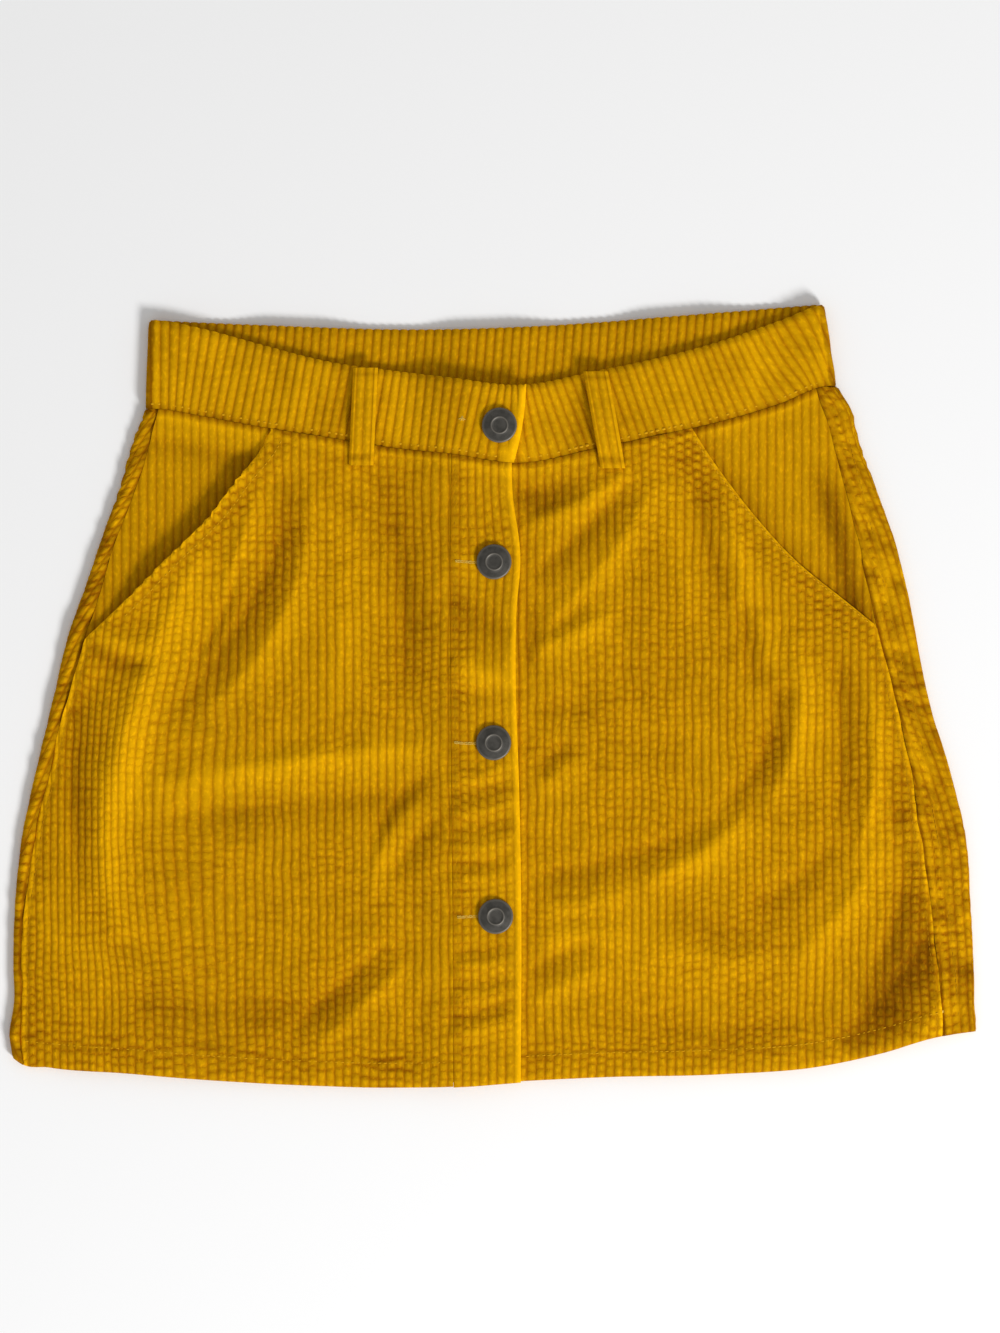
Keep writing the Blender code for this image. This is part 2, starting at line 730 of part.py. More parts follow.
def back_belt_loops():
    """Pressed flat between the waistband and the surface."""
    for side, centre in BACK_LOOPS.items():
        y_top = float(back_top(centre)) - LOOP_TRIM_BACK
        y_foot = float(back_seam(centre)) - LOOP_REACH
        rows = []
        for y in np.linspace(y_top, y_foot, 5):
            rows.append([(centre + w * LOOP_WIDTH / 2, y, LOOP / 2) for w in (-1, 0, 1)])
        name = "belt_loop_back_" + side
        wall(name, np.array(rows), (0, 0, 1), LOOP / 2, LOOP / 2, "belt_loop_cord")


def turned(name, profile, x, y, sides, finish):
    """A solid turned about a vertical axis, from (radius, height) pairs that start and end on it."""
    points = [(x, y, profile[0][1])]
    for radius, height in profile[1:-1]:
        for k in range(sides):
            angle = 2 * math.pi * k / sides
            points.append((x + radius * math.cos(angle), y + radius * math.sin(angle), height))
    points.append((x, y, profile[-1][1]))
    rings = len(profile) - 2
    last = len(points) - 1
    faces = []
    for k in range(sides):
        n = (k + 1) % sides
        faces.append((0, 1 + n, 1 + k))
        for ring in range(rings - 1):
            a = 1 + ring * sides
            b = a + sides
            faces.append((a + k, a + n, b + n, b + k))
        a = 1 + (rings - 1) * sides
        faces.append((a + k, a + n, last))
    return add_object(name, points, faces, finish)


def button_levels(number, button):
    """Underside and top of the lower cloth that the button joins, and top of the upper one."""
    if number == 1:
        lower = float(band_front_level(button.x, button.y, False))
        beside = [button.x - BUTTON_RADIUS, button.x, button.x + BUTTON_RADIUS]
        upper = max(float(band_front_level(x, button.y, True)) for x in beside)
        return lower - BAND / 2, lower + BAND / 2, upper + BAND / 2
    ring = [(0.0, 0.0)]
    for angle in np.linspace(0, 6, 13):
        ring.append((BUTTON_RADIUS * math.cos(angle), BUTTON_RADIUS * math.sin(angle)))
    upper = max(float(placket_level(button.x + dx, button.y + dy)) for dx, dy in ring)
    lower = [float(front_right_level(button.x + dx / 2, button.y + dy / 2)) for dx, dy in ring]
    return min(lower) - CLOTH / 2, max(lower) + CLOTH / 2, upper + PLACKET / 2


def add_cutter(name, low, high):
    """A box that cuts a slit, kept out of the model."""
    corners = []
    for x in (low[0], high[0]):
        for y in (low[1], high[1]):
            corners += [(x, y, low[2]), (x, y, high[2])]
    faces = [(0, 1, 3, 2), (4, 6, 7, 5), (0, 4, 5, 1), (2, 3, 7, 6), (0, 2, 6, 4), (1, 5, 7, 3)]
    return hide_cutter(add_object(name, corners, faces, material("cutter", GUNMETAL, 0, 1)))


def add_bore(name, x, y, z_low, z_high):
    """A round cutter that clears a button's shank."""
    radius = SHANK_RADIUS + LAYER_GAP
    profile = [(0, z_low), (radius, z_low), (radius, z_high), (0, z_high)]
    return hide_cutter(turned(name, profile, x, y, 12, material("cutter", GUNMETAL, 0, 1)))


def hide_cutter(cutter):
    """Keeps a cutter out of renders, and so out of the model."""
    cutter.hide_render = True
    cutter.display_type = "WIRE"
    return cutter


def cut(target, cutter):
    """Takes a cutter's shape out of a piece."""
    boolean = bpy.data.objects[target].modifiers.new("cut_" + cutter.name, "BOOLEAN")
    boolean.operation = "DIFFERENCE"
    boolean.solver = "EXACT"
    boolean.object = cutter


def buttons():
    """Tack buttons: a domed cap with a raised ring, a shank through slit and underlap, a tack disc."""
    gunmetal = material("gunmetal", GUNMETAL, 0.9, 0.42)
    for number, button in enumerate(BUTTONS, start=1):
        under, lower_top, top = button_levels(number, button)
        cap = top + CAP_GAP
        tack = under - LAYER_GAP
        profile = [
            (0, tack - TACK_THICKNESS),
            (TACK_RADIUS, tack - TACK_THICKNESS),
            (TACK_RADIUS, tack),
            (SHANK_RADIUS, tack),
            (SHANK_RADIUS, cap),
            (BUTTON_RADIUS - 0.5, cap),
            (BUTTON_RADIUS, cap + 0.5),
            (BUTTON_RADIUS - 0.1, cap + 1.2),
            (BUTTON_RADIUS - 1.0, cap + 1.75),
            (4.5, cap + 2.1),
            (4.2, cap + 2.45),
            (3.6, cap + 2.45),
            (3.3, cap + 2.0),
            (0, cap + 2.15),
        ]
        turned("button_%d" % number, profile, button.x, button.y, BUTTON_SIDES, gunmetal)

        y_low = button.y - SLIT_WIDTH / 2
        y_high = button.y + SLIT_WIDTH / 2
        z_high = top + CUT_PAST
        slit_low = (button.x - button.hole_length, y_low, lower_top + SLIT_CLEARANCE)
        slit = add_cutter("slit_%d" % number, slit_low, (button.x, y_high, z_high))
        bore = add_bore("shank_bore_%d" % number, button.x, button.y, under - BORE_BELOW, z_high)
        if number == 1:
            cut("waistband", slit)
            cut("waistband", bore)
        else:
            cut("placket", slit)
            cut("placket", bore)
            cut("front_right", bore)


def main():
    """Clears the scene and builds every piece."""
    for thing in list(bpy.data.objects):
        bpy.data.objects.remove(thing)
    back()
    pocket_facings()
    fronts_and_placket()
    waistband()
    back_belt_loops()
    front_belt_loops()
    buttons()


main()
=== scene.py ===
# %% [markdown]
# # A corduroy skirt, lying flat on its back
# The skirt is a short A-line in jumbo corduroy, with a lapped front, four tack buttons and two slanted
# pockets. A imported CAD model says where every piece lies. This lesson keeps those places and makes the
# cloth again with real wales, creases, stitches and pile. It could be done with displacement alone, but
# wales that are in the mesh catch light from every side, so each panel is a closed shell built by numpy.

# %% Load the frame
import math
from collections import namedtuple

import bpy
import numpy as np
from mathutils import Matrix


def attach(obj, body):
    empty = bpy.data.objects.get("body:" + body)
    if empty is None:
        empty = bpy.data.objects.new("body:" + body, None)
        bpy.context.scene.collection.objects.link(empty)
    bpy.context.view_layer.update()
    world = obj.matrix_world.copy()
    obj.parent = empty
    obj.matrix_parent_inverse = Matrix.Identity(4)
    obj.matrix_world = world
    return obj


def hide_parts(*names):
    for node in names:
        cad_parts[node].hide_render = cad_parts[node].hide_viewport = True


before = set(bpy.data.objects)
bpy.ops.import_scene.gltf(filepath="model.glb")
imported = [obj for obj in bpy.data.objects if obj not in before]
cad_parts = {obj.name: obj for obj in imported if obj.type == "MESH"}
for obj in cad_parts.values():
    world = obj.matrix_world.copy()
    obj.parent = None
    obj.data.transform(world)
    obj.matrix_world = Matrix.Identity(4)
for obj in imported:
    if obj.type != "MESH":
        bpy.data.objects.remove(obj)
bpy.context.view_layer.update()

# %% [markdown]
# ## Helpers for soft shapes
# Cloth has no straight lines and no sudden steps, so a few soft functions do most of the drawing: `ease`
# is a soft step from 0 to 1, `near` is a soft ridge along a line, `through` runs a smooth curve through a
# short table of named columns, and `uneven` gives slow random values. Lengths are in millimetres, as on a
# maker's pattern, and turn into metres when a mesh is made.

# %% Soft steps, curves through tables, and seeded unevenness
MM = 0.001


def ease(t):
    """A soft step from 0 to 1 as t goes from 0 to 1."""
    t = np.clip(t, 0.0, 1.0)
    return t * t * (3.0 - 2.0 * t)


def near(distance, reach):
    """1 on a line, fading to about a third at reach from it and to nothing at twice that."""
    return np.exp(-((distance / reach) ** 2))


def through(rows, along, column):
    """A smooth curve through one column of a table, as a function of another column."""
    rows = sorted(rows, key=lambda row: getattr(row, along))
    x = np.array([getattr(row, along) for row in rows], float)
    y = np.array([getattr(row, column) for row in rows], float)
    slope = np.gradient(y, x)

    def curve(at):
        at = np.asarray(at, float)
        i = np.clip(np.searchsorted(x, at) - 1, 0, len(x) - 2)
        step = x[i + 1] - x[i]
        t = np.clip((at - x[i]) / step, 0.0, 1.0)
        rise = (3 - 2 * t) * t * t
        leave = t * (1 - t) ** 2 * step * slope[i]
        arrive = t * t * (t - 1) * step * slope[i + 1]
        return y[i] * (1 - rise) + y[i + 1] * rise + leave + arrive

    return curve


def uneven(x, y, size, seed):
    """Smooth values from -1 to 1 in patches about size across, the same on every run."""
    lattice = np.random.default_rng(seed).uniform(-1, 1, (128, 128))
    across = np.asarray(x, float) / size + 500
    down = np.asarray(y, float) / size + 500
    i = np.floor(across).astype(int)
    j = np.floor(down).astype(int)
    s = ease(across - i)
    t = ease(down - j)
    lower = lattice[i % 128, j % 128] * (1 - s) + lattice[(i + 1) % 128, j % 128] * s
    upper = lattice[i % 128, (j + 1) % 128] * (1 - s) + lattice[(i + 1) % 128, (j + 1) % 128] * s
    return lower * (1 - t) + upper * t


print("ease at a quarter", float(ease(0.25)), "and near at its reach", round(float(near(1.0, 1.0)), 2))

# %% [markdown]
# ## The pattern's lines
# These tables are the skirt's own outline: its side folds and side seams, its two waist seams, its hem,
# its pocket mouths and its lap. They are the same numbers that the CAD model was cut by, so a shell
# made from them lies in the space of its CAD solid.

# %% Side folds, waist and hem
SEAM_WAVER = 0.7
Side = namedtuple("Side", "y left_fold left_seam right_seam right_fold")
SIDES = (
    Side(151.0, -167.5, -158.6, 157.0, 167.6),
    Side(139.3, -168.6, -161.3, 160.6, 174.6),
    Side(126.0, -173.8, -165.0, 164.6, 177.9),
    Side(100.0, -181.4, -173.8, 171.6, 187.0),
    Side(78.0, -189.2, -181.6, 177.0, 194.8),
    Side(55.0, -196.9, -189.2, 182.2, 200.9),
    Side(31.0, -205.4, -196.8, 187.8, 205.7),
    Side(0.0, -212.9, -205.8, 195.8, 211.7),
    Side(-40.0, -222.4, -215.5, 203.8, 223.5),
    Side(-70.0, -228.6, -222.5, 208.2, 230.4),
    Side(-100.0, -231.6, -227.0, 213.0, 232.4),
    Side(-130.0, -232.4, -228.2, 216.6, 234.0),
    Side(-150.0, -232.2, -228.2, 218.2, 234.4),
    Side(-164.0, -234.6, -229.2, 219.0, 235.4),
    Side(-178.0, -232.4, -228.0, 219.4, 234.6),
)
Across = namedtuple("Across", "x back_top back_seam front_top front_seam")
WAIST = (
    Across(-168.0, 182.4, 139.3, 182.4, 139.3),
    Across(-162.5, 182.3, 139.3, 182.3, 139.3),
    Across(-140.0, 181.3, 139.3, 178.0, 135.8),
    Across(-110.0, 180.0, 139.0, 169.8, 130.2),
    Across(-80.0, 178.8, 138.5, 162.2, 125.5),
    Across(-50.0, 178.1, 138.1, 158.0, 120.7),
    Across(-20.0, 178.1, 138.0, 154.2, 117.4),
    Across(12.0, 179.1, 138.5, 150.6, 113.0),
    Across(50.0, 181.4, 140.2, 157.6, 120.0),
    Across(80.0, 183.7, 142.5, 163.7, 126.3),
    Across(110.0, 186.1, 145.0, 171.7, 133.0),
    Across(140.0, 188.6, 148.0, 182.2, 142.0),
    Across(162.5, 190.2, 150.4, 190.2, 150.4),
    Across(168.0, 190.4, 150.4, 190.4, 150.4),
)
Hem = namedtuple("Hem", "x y")
HEM = (
    Hem(-235.0, -172.5),
    Hem(-230.0, -177.6),
    Hem(-215.0, -180.4),
    Hem(-180.0, -183.0),
    Hem(-135.0, -186.6),
    Hem(-90.0, -189.0),
    Hem(-50.0, -190.0),
    Hem(-15.0, -189.2),
    Hem(20.0, -186.6),
    Hem(60.0, -184.8),
    Hem(110.0, -183.6),
    Hem(158.0, -179.9),
    Hem(190.0, -173.2),
    Hem(214.0, -166.0),
    Hem(236.0, -162.6),
)
fold_left = through(SIDES, "y", "left_fold")
fold_right = through(SIDES, "y", "right_fold")
seam_left_plan = through(SIDES, "y", "left_seam")
seam_right_plan = through(SIDES, "y", "right_seam")


def seam_left(y):
    """The left side seam, which its stitching has drawn a little to and fro."""
    return seam_left_plan(y) + SEAM_WAVER * uneven(y, 0 * y, 10, 61)


def seam_right(y):
    """The right side seam, likewise."""
    return seam_right_plan(y) + SEAM_WAVER * uneven(y, 0 * y, 12, 62)


back_top = through(WAIST, "x", "back_top")
back_seam = through(WAIST, "x", "back_seam")
front_top = through(WAIST, "x", "front_top")
front_seam = through(WAIST, "x", "front_seam")
hem = through(HEM, "x", "y")
print("hem", float(fold_right(-150.0) - fold_left(-150.0)), "mm wide, waist",
      float(fold_right(151.0) - fold_left(151.0)), "mm wide")

# %% [markdown]
# ## Pockets and lap
# A slanted pocket is a mouth cut across the front's corner, with a facing behind it that runs in under the
# front as far as a straight inner edge. The placket is the strip between its stitched side and its open
# edge, which wanders a little. Past them lie the ends of the hidden underlap and of the waistband.

# %% Pocket mouths, pocket facings and the lap
Mouth = namedtuple("Mouth", "y left right")
MOUTHS = (
    Mouth(132.0, -105.8, 95.6),
    Mouth(118.0, -112.6, 104.4),
    Mouth(104.0, -124.0, 114.4),
    Mouth(87.0, -136.8, 127.8),
    Mouth(62.6, -161.5, 150.8),
    Mouth(47.0, -176.8, 170.4),
    Mouth(32.0, -192.6, 189.0),
    Mouth(0.0, -227.0, 228.0),
    Mouth(-200.0, -440.0, 444.0),
)
Facing = namedtuple("Facing", "x_top y_top x_foot y_foot")
FACINGS = {
    "left": Facing(-72.0, 124.2, -184.0, 26.0),
    "right": Facing(63.0, 122.6, 173.0, 29.0),
}
Lap = namedtuple("Lap", "y stitched edge")
LAP = (
    Lap(118.0, -19.6, 9.6),
    Lap(100.0, -19.8, 9.9),
    Lap(67.0, -20.2, 13.8),
    Lap(40.0, -20.2, 11.8),
    Lap(5.0, -20.0, 11.6),
    Lap(-45.0, -19.6, 13.2),
    Lap(-100.0, -19.0, 14.2),
    Lap(-190.0, -18.6, 14.0),
)
UNDERLAP_END = -17.0
BAND_LAP_TOP_X = 19.0
BAND_LAP_FOOT_X = 10.8
BAND_UNDERLAP_END = -19.0
mouth_left = through(MOUTHS, "y", "left")
mouth_right = through(MOUTHS, "y", "right")
placket_seam = through(LAP, "y", "stitched")
placket_edge = through(LAP, "y", "edge")
print("placket", round(float(placket_edge(-22.6) - placket_seam(-22.6)), 1), "mm wide at the third button")

# %% [markdown]
# ## How high each cloth lies
# The skirt is a flat tube: the back lies on the floor, turns up at the side folds, and the fronts lie on
# it, some millimetres up, with the pocket facings between. Each cloth has a level, the height of its
# middle, and neighbours keep a hair's gap so that nothing cuts through anything.

# %% Thicknesses, clearances and levels of rest
CLOTH = 1.8
BAND = 3.0
PLACKET = 2.4
LOOP = 1.8
LAYER_GAP = 0.3
SEAM_GAP = 0.12
FOLD_GAP = 0.8
BACK_MID = CLOTH / 2
SIDE_MID = CLOTH + FOLD_GAP + CLOTH / 2
FRONT_MID = 5.8
UNDERLAP_DROP = 0.9
PLACKET_RISE = 2.0
BAND_BACK_MID = BAND / 2
BAND_SIDE_MID = BAND + FOLD_GAP + BAND / 2
BAND_FRONT_MID = 5.8
BAND_LAP_MID = BAND_FRONT_MID + BAND + LAYER_GAP
SIDE_RUN = 35.0
FOLD_TURN = (SIDE_MID - BACK_MID) / 2
BAND_TURN = (BAND_SIDE_MID - BAND_BACK_MID) / 2
BACK_LOOPS = {"left": -92.0, "centre": 0.0, "right": 92.0}
LOOP_WIDTH = 12.0
LOOP_REACH = 10.5
LIFT_MARGIN = 5.0
LIFT_RAMP = 26.0


def lift(x, y):
    """Height that everything over a back belt loop is raised by, easing off around it."""
    total = np.zeros(np.broadcast(x, y).shape)
    for centre in BACK_LOOPS.values():
        foot = back_seam(centre) - LOOP_REACH
        beside = 1 - ease((np.abs(x - centre) - LOOP_WIDTH / 2 - LIFT_MARGIN) / LIFT_RAMP)
        below = 1 - ease((foot - LIFT_MARGIN - y) / LIFT_RAMP)
        total = np.maximum(total, (LOOP + LAYER_GAP) * beside * below)
    return total


def crown(x, y):
    """0 at the side folds, 1 a hand's breadth in, where the front lies at its full height."""
    return ease(np.minimum(x - fold_left(y), fold_right(y) - x) / SIDE_RUN)


def over_facing(x, y):
    """1 where a front lies over a pocket facing, easing to 0 past the facing's inner edge."""
    weight = 0.0
    for side, facing in FACINGS.items():
        along = np.array([facing.x_foot - facing.x_top, facing.y_foot - facing.y_top])
        along /= np.linalg.norm(along)
        outward = np.array([-along[1], along[0]]) * (1 if side == "left" else -1)
        past = (x - facing.x_top) * outward[0] + (y - facing.y_top) * outward[1]
        on_side = x < 0 if side == "left" else x > 0
        weight = weight + (1 - ease((past - 3) / 15)) * on_side
    return weight


print("the placket's top lies", round(FRONT_MID + PLACKET_RISE + PLACKET / 2, 1), "mm up")


# %% [markdown]
# ## The creases
# A worn skirt keeps the marks of its wearer: ridges over the hips, slack under the pockets, puckers where
# buttons pull. Each crease is a short curve through three points with a half width and a rise, up for a
# ridge and down for a trough. Placing them one by one beats noise here, because real creases run from
# somewhere to somewhere.

# %% Creases of the two fronts
Crease = namedtuple("Crease", "x0 y0 x1 y1 x2 y2 width rise")
LEFT_CREASES = (
    Crease(-138, 72, -168, 10, -184, -58, 12, 3.0),
    Crease(-172, 0, -187, -58, -178, -122, 11, 2.4),
    Crease(-200, 10, -203, -41, -199, -92, 7, -2.0),
    Crease(-101, 110, -110, 56, -160, -16, 8, -2.4),
    Crease(-112, 104, -121, 76, -131, 46, 5, 1.5),
    Crease(-120, 68, -130, 40, -148, 12, 4, -1.4),
    Crease(-90, 110, -97, 47, -139, -8, 8, 1.9),
    Crease(-166, -44, -98, -32, -25, -24, 9, 2.4),
    Crease(-161, -61, -98, -53, -30, -46, 8, -1.4),
    Crease(-58, 110, -43, 61, -44, -2, 8, -1.9),
    Crease(-79, 95, -71, 47, -79, -12, 12, 1.3),
    Crease(-50, -121, -71, -139, -98, -164, 5, -1.9),
    Crease(-41, -129, -61, -148, -85, -170, 6, 1.7),
    Crease(-25, -36, -45, -50, -58, -75, 6, -1.6),
    Crease(-20, -56, -37, -70, -46, -89, 6, -1.4),
    Crease(-30, -48, -50, -68, -58, -99, 6, 1.3),
    Crease(-190, -143, -132, -153, -49, -147, 14, -1.6),
    Crease(-229, -89, -210, -118, -166, -140, 12, 1.0),
    Crease(-195, 25, -182, 17, -164, 18, 4.5, -2.6),
    Crease(-194, 34, -180, 26, -165, 27, 4.5, 1.6),
    Crease(-79, 110, -66, 107, -58, 95, 6, 1.0),
)
LAP_CREASES = (
    Crease(-25, 54, -8, 39, 10, 31, 11, -2.0),
    Crease(-20, 17, -6, 12, 10, 6, 9, 2.0),
    Crease(-21, 1, -7, 2, 10, 4, 4, -1.0),
    Crease(-19, -37, -6, -39, 11, -29, 5, 1.2),
    Crease(-21, -47, -6, -46, 11, -40, 4, -1.2),
    Crease(-21, -56, -6, -55, 11, -52, 4, 1.1),
    Crease(-21, -64, -6, -63, 11, -60, 3.6, -1.1),
    Crease(-21, -73, -6, -73, 11, -69, 3.6, 1.0),
    Crease(-22, -81, -7, -81, 11, -78, 3.6, -1.0),
    Crease(-22, -89, -7, -88, 11, -86, 3.6, 0.9),
    Crease(-19, -123, -6, -123, 12, -120, 3.6, -1.1),
    Crease(-20, -130, -6, -130, 12, -127, 3.6, 1.0),
    Crease(-20, -138, -6, -138, 12, -136, 3.6, -1.1),
    Crease(-20, -146, -6, -145, 12, -142, 4, 1.0),
    Crease(-22, -156, -6, -153, 14, -146, 4, -1.4),
    Crease(-22, -164, -6, -161, 14, -155, 4.5, 1.2),
    Crease(-22, 85, -17, 66, -20, 47, 7, 0.8),
)
RIGHT_CREASES = (
    Crease(12, 104, 22, 97, 42, 106, 8, -2.8),
    Crease(14, 83, 40, 92, 68, 110, 6, 2.0),
    Crease(18, 57, 45, 80, 69, 106, 6, -2.2),
    Crease(27, 36, 58, 68, 82, 108, 8, 1.9),
    Crease(16, 47, 18, 31, 17, 14, 4, -1.5),
    Crease(18, 21, 39, 30, 62, 41, 7, 2.0),
    Crease(48, 48, 39, 40, 27, 29, 5, -1.3),
    Crease(20, -10, 31, -5, 48, -4, 8, -1.2),
    Crease(20, -36, 28, -29, 39, -22, 5, -1.3),
    Crease(22, -47, 33, -37, 48, -30, 6, 1.2),
    Crease(100, 110, 104, 81, 113, 47, 6, -2.0),
    Crease(112, 110, 118, 76, 126, 42, 8, 1.8),
    Crease(83, 105, 90, 76, 96, 37, 9, 1.1),
    Crease(121, 47, 124, 27, 128, 3, 6, -1.6),
    Crease(131, 42, 134, 22, 140, 3, 7, 1.3),
    Crease(132, 17, 136, -21, 107, -59, 7, -2.0),
    Crease(107, -59, 67, -78, 17, -89, 7, -1.7),
    Crease(147, 32, 149, -12, 136, -50, 8, 2.3),
    Crease(124, -56, 104, -75, 72, -91, 8, 2.1),
    Crease(72, -92, 48, -100, 21, -103, 7, 1.3),
    Crease(167, 22, 171, -21, 167, -65, 7, -1.8),
    Crease(181, 8, 186, -36, 174, -84, 6, 2.0),
    Crease(167, -70, 149, -89, 121, -105, 7, -1.4),
    Crease(188, -65, 174, -99, 144, -129, 8, 1.6),
    Crease(200, -70, 196, -110, 176, -150, 8, -2.0),
    Crease(214, -112, 199, -140, 168, -170, 11, -3.4),
    Crease(228, -124, 218, -147, 204, -170, 7, 1.4),
    Crease(81, -89, 111, -113, 149, -107, 10, -1.1),
    Crease(52, -113, 101, -128, 140, -123, 12, 1.2),
    Crease(23, -119, 43, -115, 67, -117, 8, 1.3),
    Crease(16, -136, 33, -126, 50, -120, 5, -1.5),
    Crease(18, -149, 36, -140, 57, -132, 6, 1.2),
    Crease(52, -155, 111, -162, 169, -152, 9, -1.2),
    Crease(188, -29, 195, -50, 197, -75, 5, -1.2),
)
print(len(LEFT_CREASES) + len(LAP_CREASES) + len(RIGHT_CREASES), "creases on the fronts")

# %% [markdown]
# ## The shape of a crease
# A crease fades to nothing at both ends and isn't the same on both sides: thick cloth that has slumped
# is steep on its upper left flank and slow on the other. So the width depends on which side of its line a
# point lies. Over a pocket facing there is little room, and a trough there stays shallow.

# %% Creases as heights
MARCH = 12
STEEP_SIDE = (-0.64, 0.77)
CREASE_MARGIN = 2.4


def bent(s, start, through_point, end):
    """A coordinate of the curve through three points, at shares s of the way."""
    pull = 2 * through_point - (start + end) / 2
    return (1 - s) ** 2 * start + 2 * s * (1 - s) * pull + s * s * end


def creased(table, x, y):
    """Height that a table of creases adds at each point."""
    x, y = np.broadcast_arrays(np.asarray(x, float), np.asarray(y, float))
    total = np.zeros(x.shape)
    s = np.linspace(0, 1, MARCH + 1)
    for crease in table:
        px = bent(s, crease.x0, crease.x1, crease.x2)
        py = bent(s, crease.y0, crease.y1, crease.y2)
        margin = CREASE_MARGIN * crease.width
        close = (x > px.min() - margin) & (x < px.max() + margin)
        close &= (y > py.min() - margin) & (y < py.max() + margin)
        if not close.any():
            continue
        cx, cy = x[close], y[close]
        nearest = np.full(cx.shape, 1e9)
        place = np.zeros(cx.shape)
        leeward = np.zeros(cx.shape)
        for k in range(MARCH):
            dx, dy = px[k + 1] - px[k], py[k + 1] - py[k]
            t = np.clip(((cx - px[k]) * dx + (cy - py[k]) * dy) / (dx * dx + dy * dy), 0, 1)
            off_x, off_y = cx - px[k] - t * dx, cy - py[k] - t * dy
            away = off_x**2 + off_y**2
            nearer = away < nearest
            flank = (off_x * STEEP_SIDE[0] + off_y * STEEP_SIDE[1]) / crease.width
            place = np.where(nearer, (k + t) / MARCH, place)
            leeward = np.where(nearer, flank, leeward)
            nearest = np.minimum(away, nearest)
        fade = np.sqrt(np.clip(np.sin(math.pi * place), 0, 1))
        width = crease.width * (0.80 - 0.24 * np.tanh(3 * leeward))
        total[close] += crease.rise * fade * np.exp(-(nearest / width**2) ** 0.8)
    return total


def softened(x, y, height):
    """A crease's height, kept shallow where a pocket facing lies close beneath."""
    return np.where(height < 0, height * (1 - 0.75 * over_facing(x, y)), height)


print("deepest of the right front's creases",
      round(min(crease.rise for crease in RIGHT_CREASES), 1), "mm")

# %% [markdown]
# ## Levels of every cloth
# A level adds up: the height of rest, the rise over the back loops, the creases, and the two places where
# an edge stands open. The left pocket gapes, and so does the placket between its buttons. An open edge
# casts the strongest shadow on the skirt, so it is worth a function of its own.

# %% Open edges and the levels themselves
POCKET_GAPE = 4.8
Gape = namedtuple("Gape", "y reach rise")
LAP_GAPES = (Gape(36.0, 22.0, 1.5), Gape(100.0, 14.0, 0.9), Gape(-64.0, 26.0, 0.5))
SEAM_HELD = 7.0
DEEPEST_AT_SEAM = -0.5
OVER_BACK = BACK_MID + CLOTH + 0.2
SEAM_PAD = 0.9


def pocket_gape(x, y):
    """How far the left pocket's mouth stands off its facing."""
    inboard = x - mouth_left(y)
    along = ease((y - 34) / 30) * ease((128 - y) / 26)
    return POCKET_GAPE * along * np.exp(-np.clip(inboard, 0, None) / 15.0)


def lap_gape(x, y):
    """How far the lap's free edge stands off between the buttons."""
    near_edge = ease((x + 6) / 18)
    return sum(gape.rise * near(y - gape.y, gape.reach) for gape in LAP_GAPES) * near_edge


def front_rest(x, y):
    """Where the middle of a front lies before creases."""
    rise = np.maximum(crown(x, y), over_facing(x, y))
    return SIDE_MID + (FRONT_MID - SIDE_MID) * rise + lift(x, y)


def held_at_seam(height, from_seam):
    """Creases whose troughs the side seam holds up, so that it doesn't open into a slot."""
    at_seam = 1 - ease(from_seam / SEAM_HELD)
    return height * (1 - at_seam) + np.maximum(height, DEEPEST_AT_SEAM) * at_seam


def front_left_level(x, y):
    """The left front climbs to the placket, and more so beside the waistband's lap."""
    beside = ease((x + 45) / 25)
    height = softened(x, y, creased(LEFT_CREASES + LAP_CREASES, x, y))
    climb = beside * (2.2 + 1.2 * ease((y - 88) / 28))
    height = held_at_seam(height, x - seam_left(y))
    return np.maximum(front_rest(x, y) + climb + height + pocket_gape(x, y), OVER_BACK)


def front_right_level(x, y):
    """The right front dips to pass under the placket."""
    dip = UNDERLAP_DROP * ease((32 - x) / 17)
    height = softened(x, y, creased(RIGHT_CREASES, x, y)) * ease((x - 8) / 14)
    shared = creased(LAP_CREASES, x, y) * ease((26 - x) / 12)
    height = held_at_seam(height, seam_right(y) - x)
    return np.maximum(front_rest(x, y) - dip + height + shared, OVER_BACK)


def placket_level(x, y):
    """The placket lies over both fronts and shares the creases beside it."""
    height = creased(LAP_CREASES + LEFT_CREASES, x, y)
    return front_rest(x, y) + PLACKET_RISE + 1.2 * ease((y - 88) / 28) + height + lap_gape(x, y)


def facing_level(x, y):
    """A facing lies smooth, with a soft step where the waist seam's turnings lie under it."""
    below = front_seam(x) - y
    return SIDE_MID + lift(x, y) + SEAM_PAD * (1 - ease((below - 12) / 4)) * ease(-x / 40)


def wrap_level(x, y):
    """The back's cloth where it has come round a side fold to the front."""
    rise = crown(x, y) * (1 - ease((y - 14) / 24))
    return SIDE_MID + (FRONT_MID - SIDE_MID) * rise + lift(x, y)


def band_front_level(x, y, lapped):
    """The waistband's front, with the lap climbing over the underlap."""
    inside = np.minimum(x - fold_left(y), fold_right(y) - x)
    level = BAND_SIDE_MID + (BAND_FRONT_MID - BAND_SIDE_MID) * ease(inside / SIDE_RUN)
    if lapped:
        level = level + (BAND_LAP_MID - BAND_FRONT_MID) * ease((x + 46) / 24)
    return level + lift(x, y)


print("top of the lapped band", round(float(band_front_level(0.0, 135.0, True)) + BAND / 2, 1), "mm")


# %% [markdown]
# ## Wales, and the lines that stitches pull down
# Corduroy is woven with extra yarn that is cut to stand up in rows, called wales. Jumbo corduroy has
# about six wales to the inch. A panel's mesh follows them: its columns run down the wales, six to each,
# and one rounded profile raises them. A line of topstitching presses the wales flat along its way.

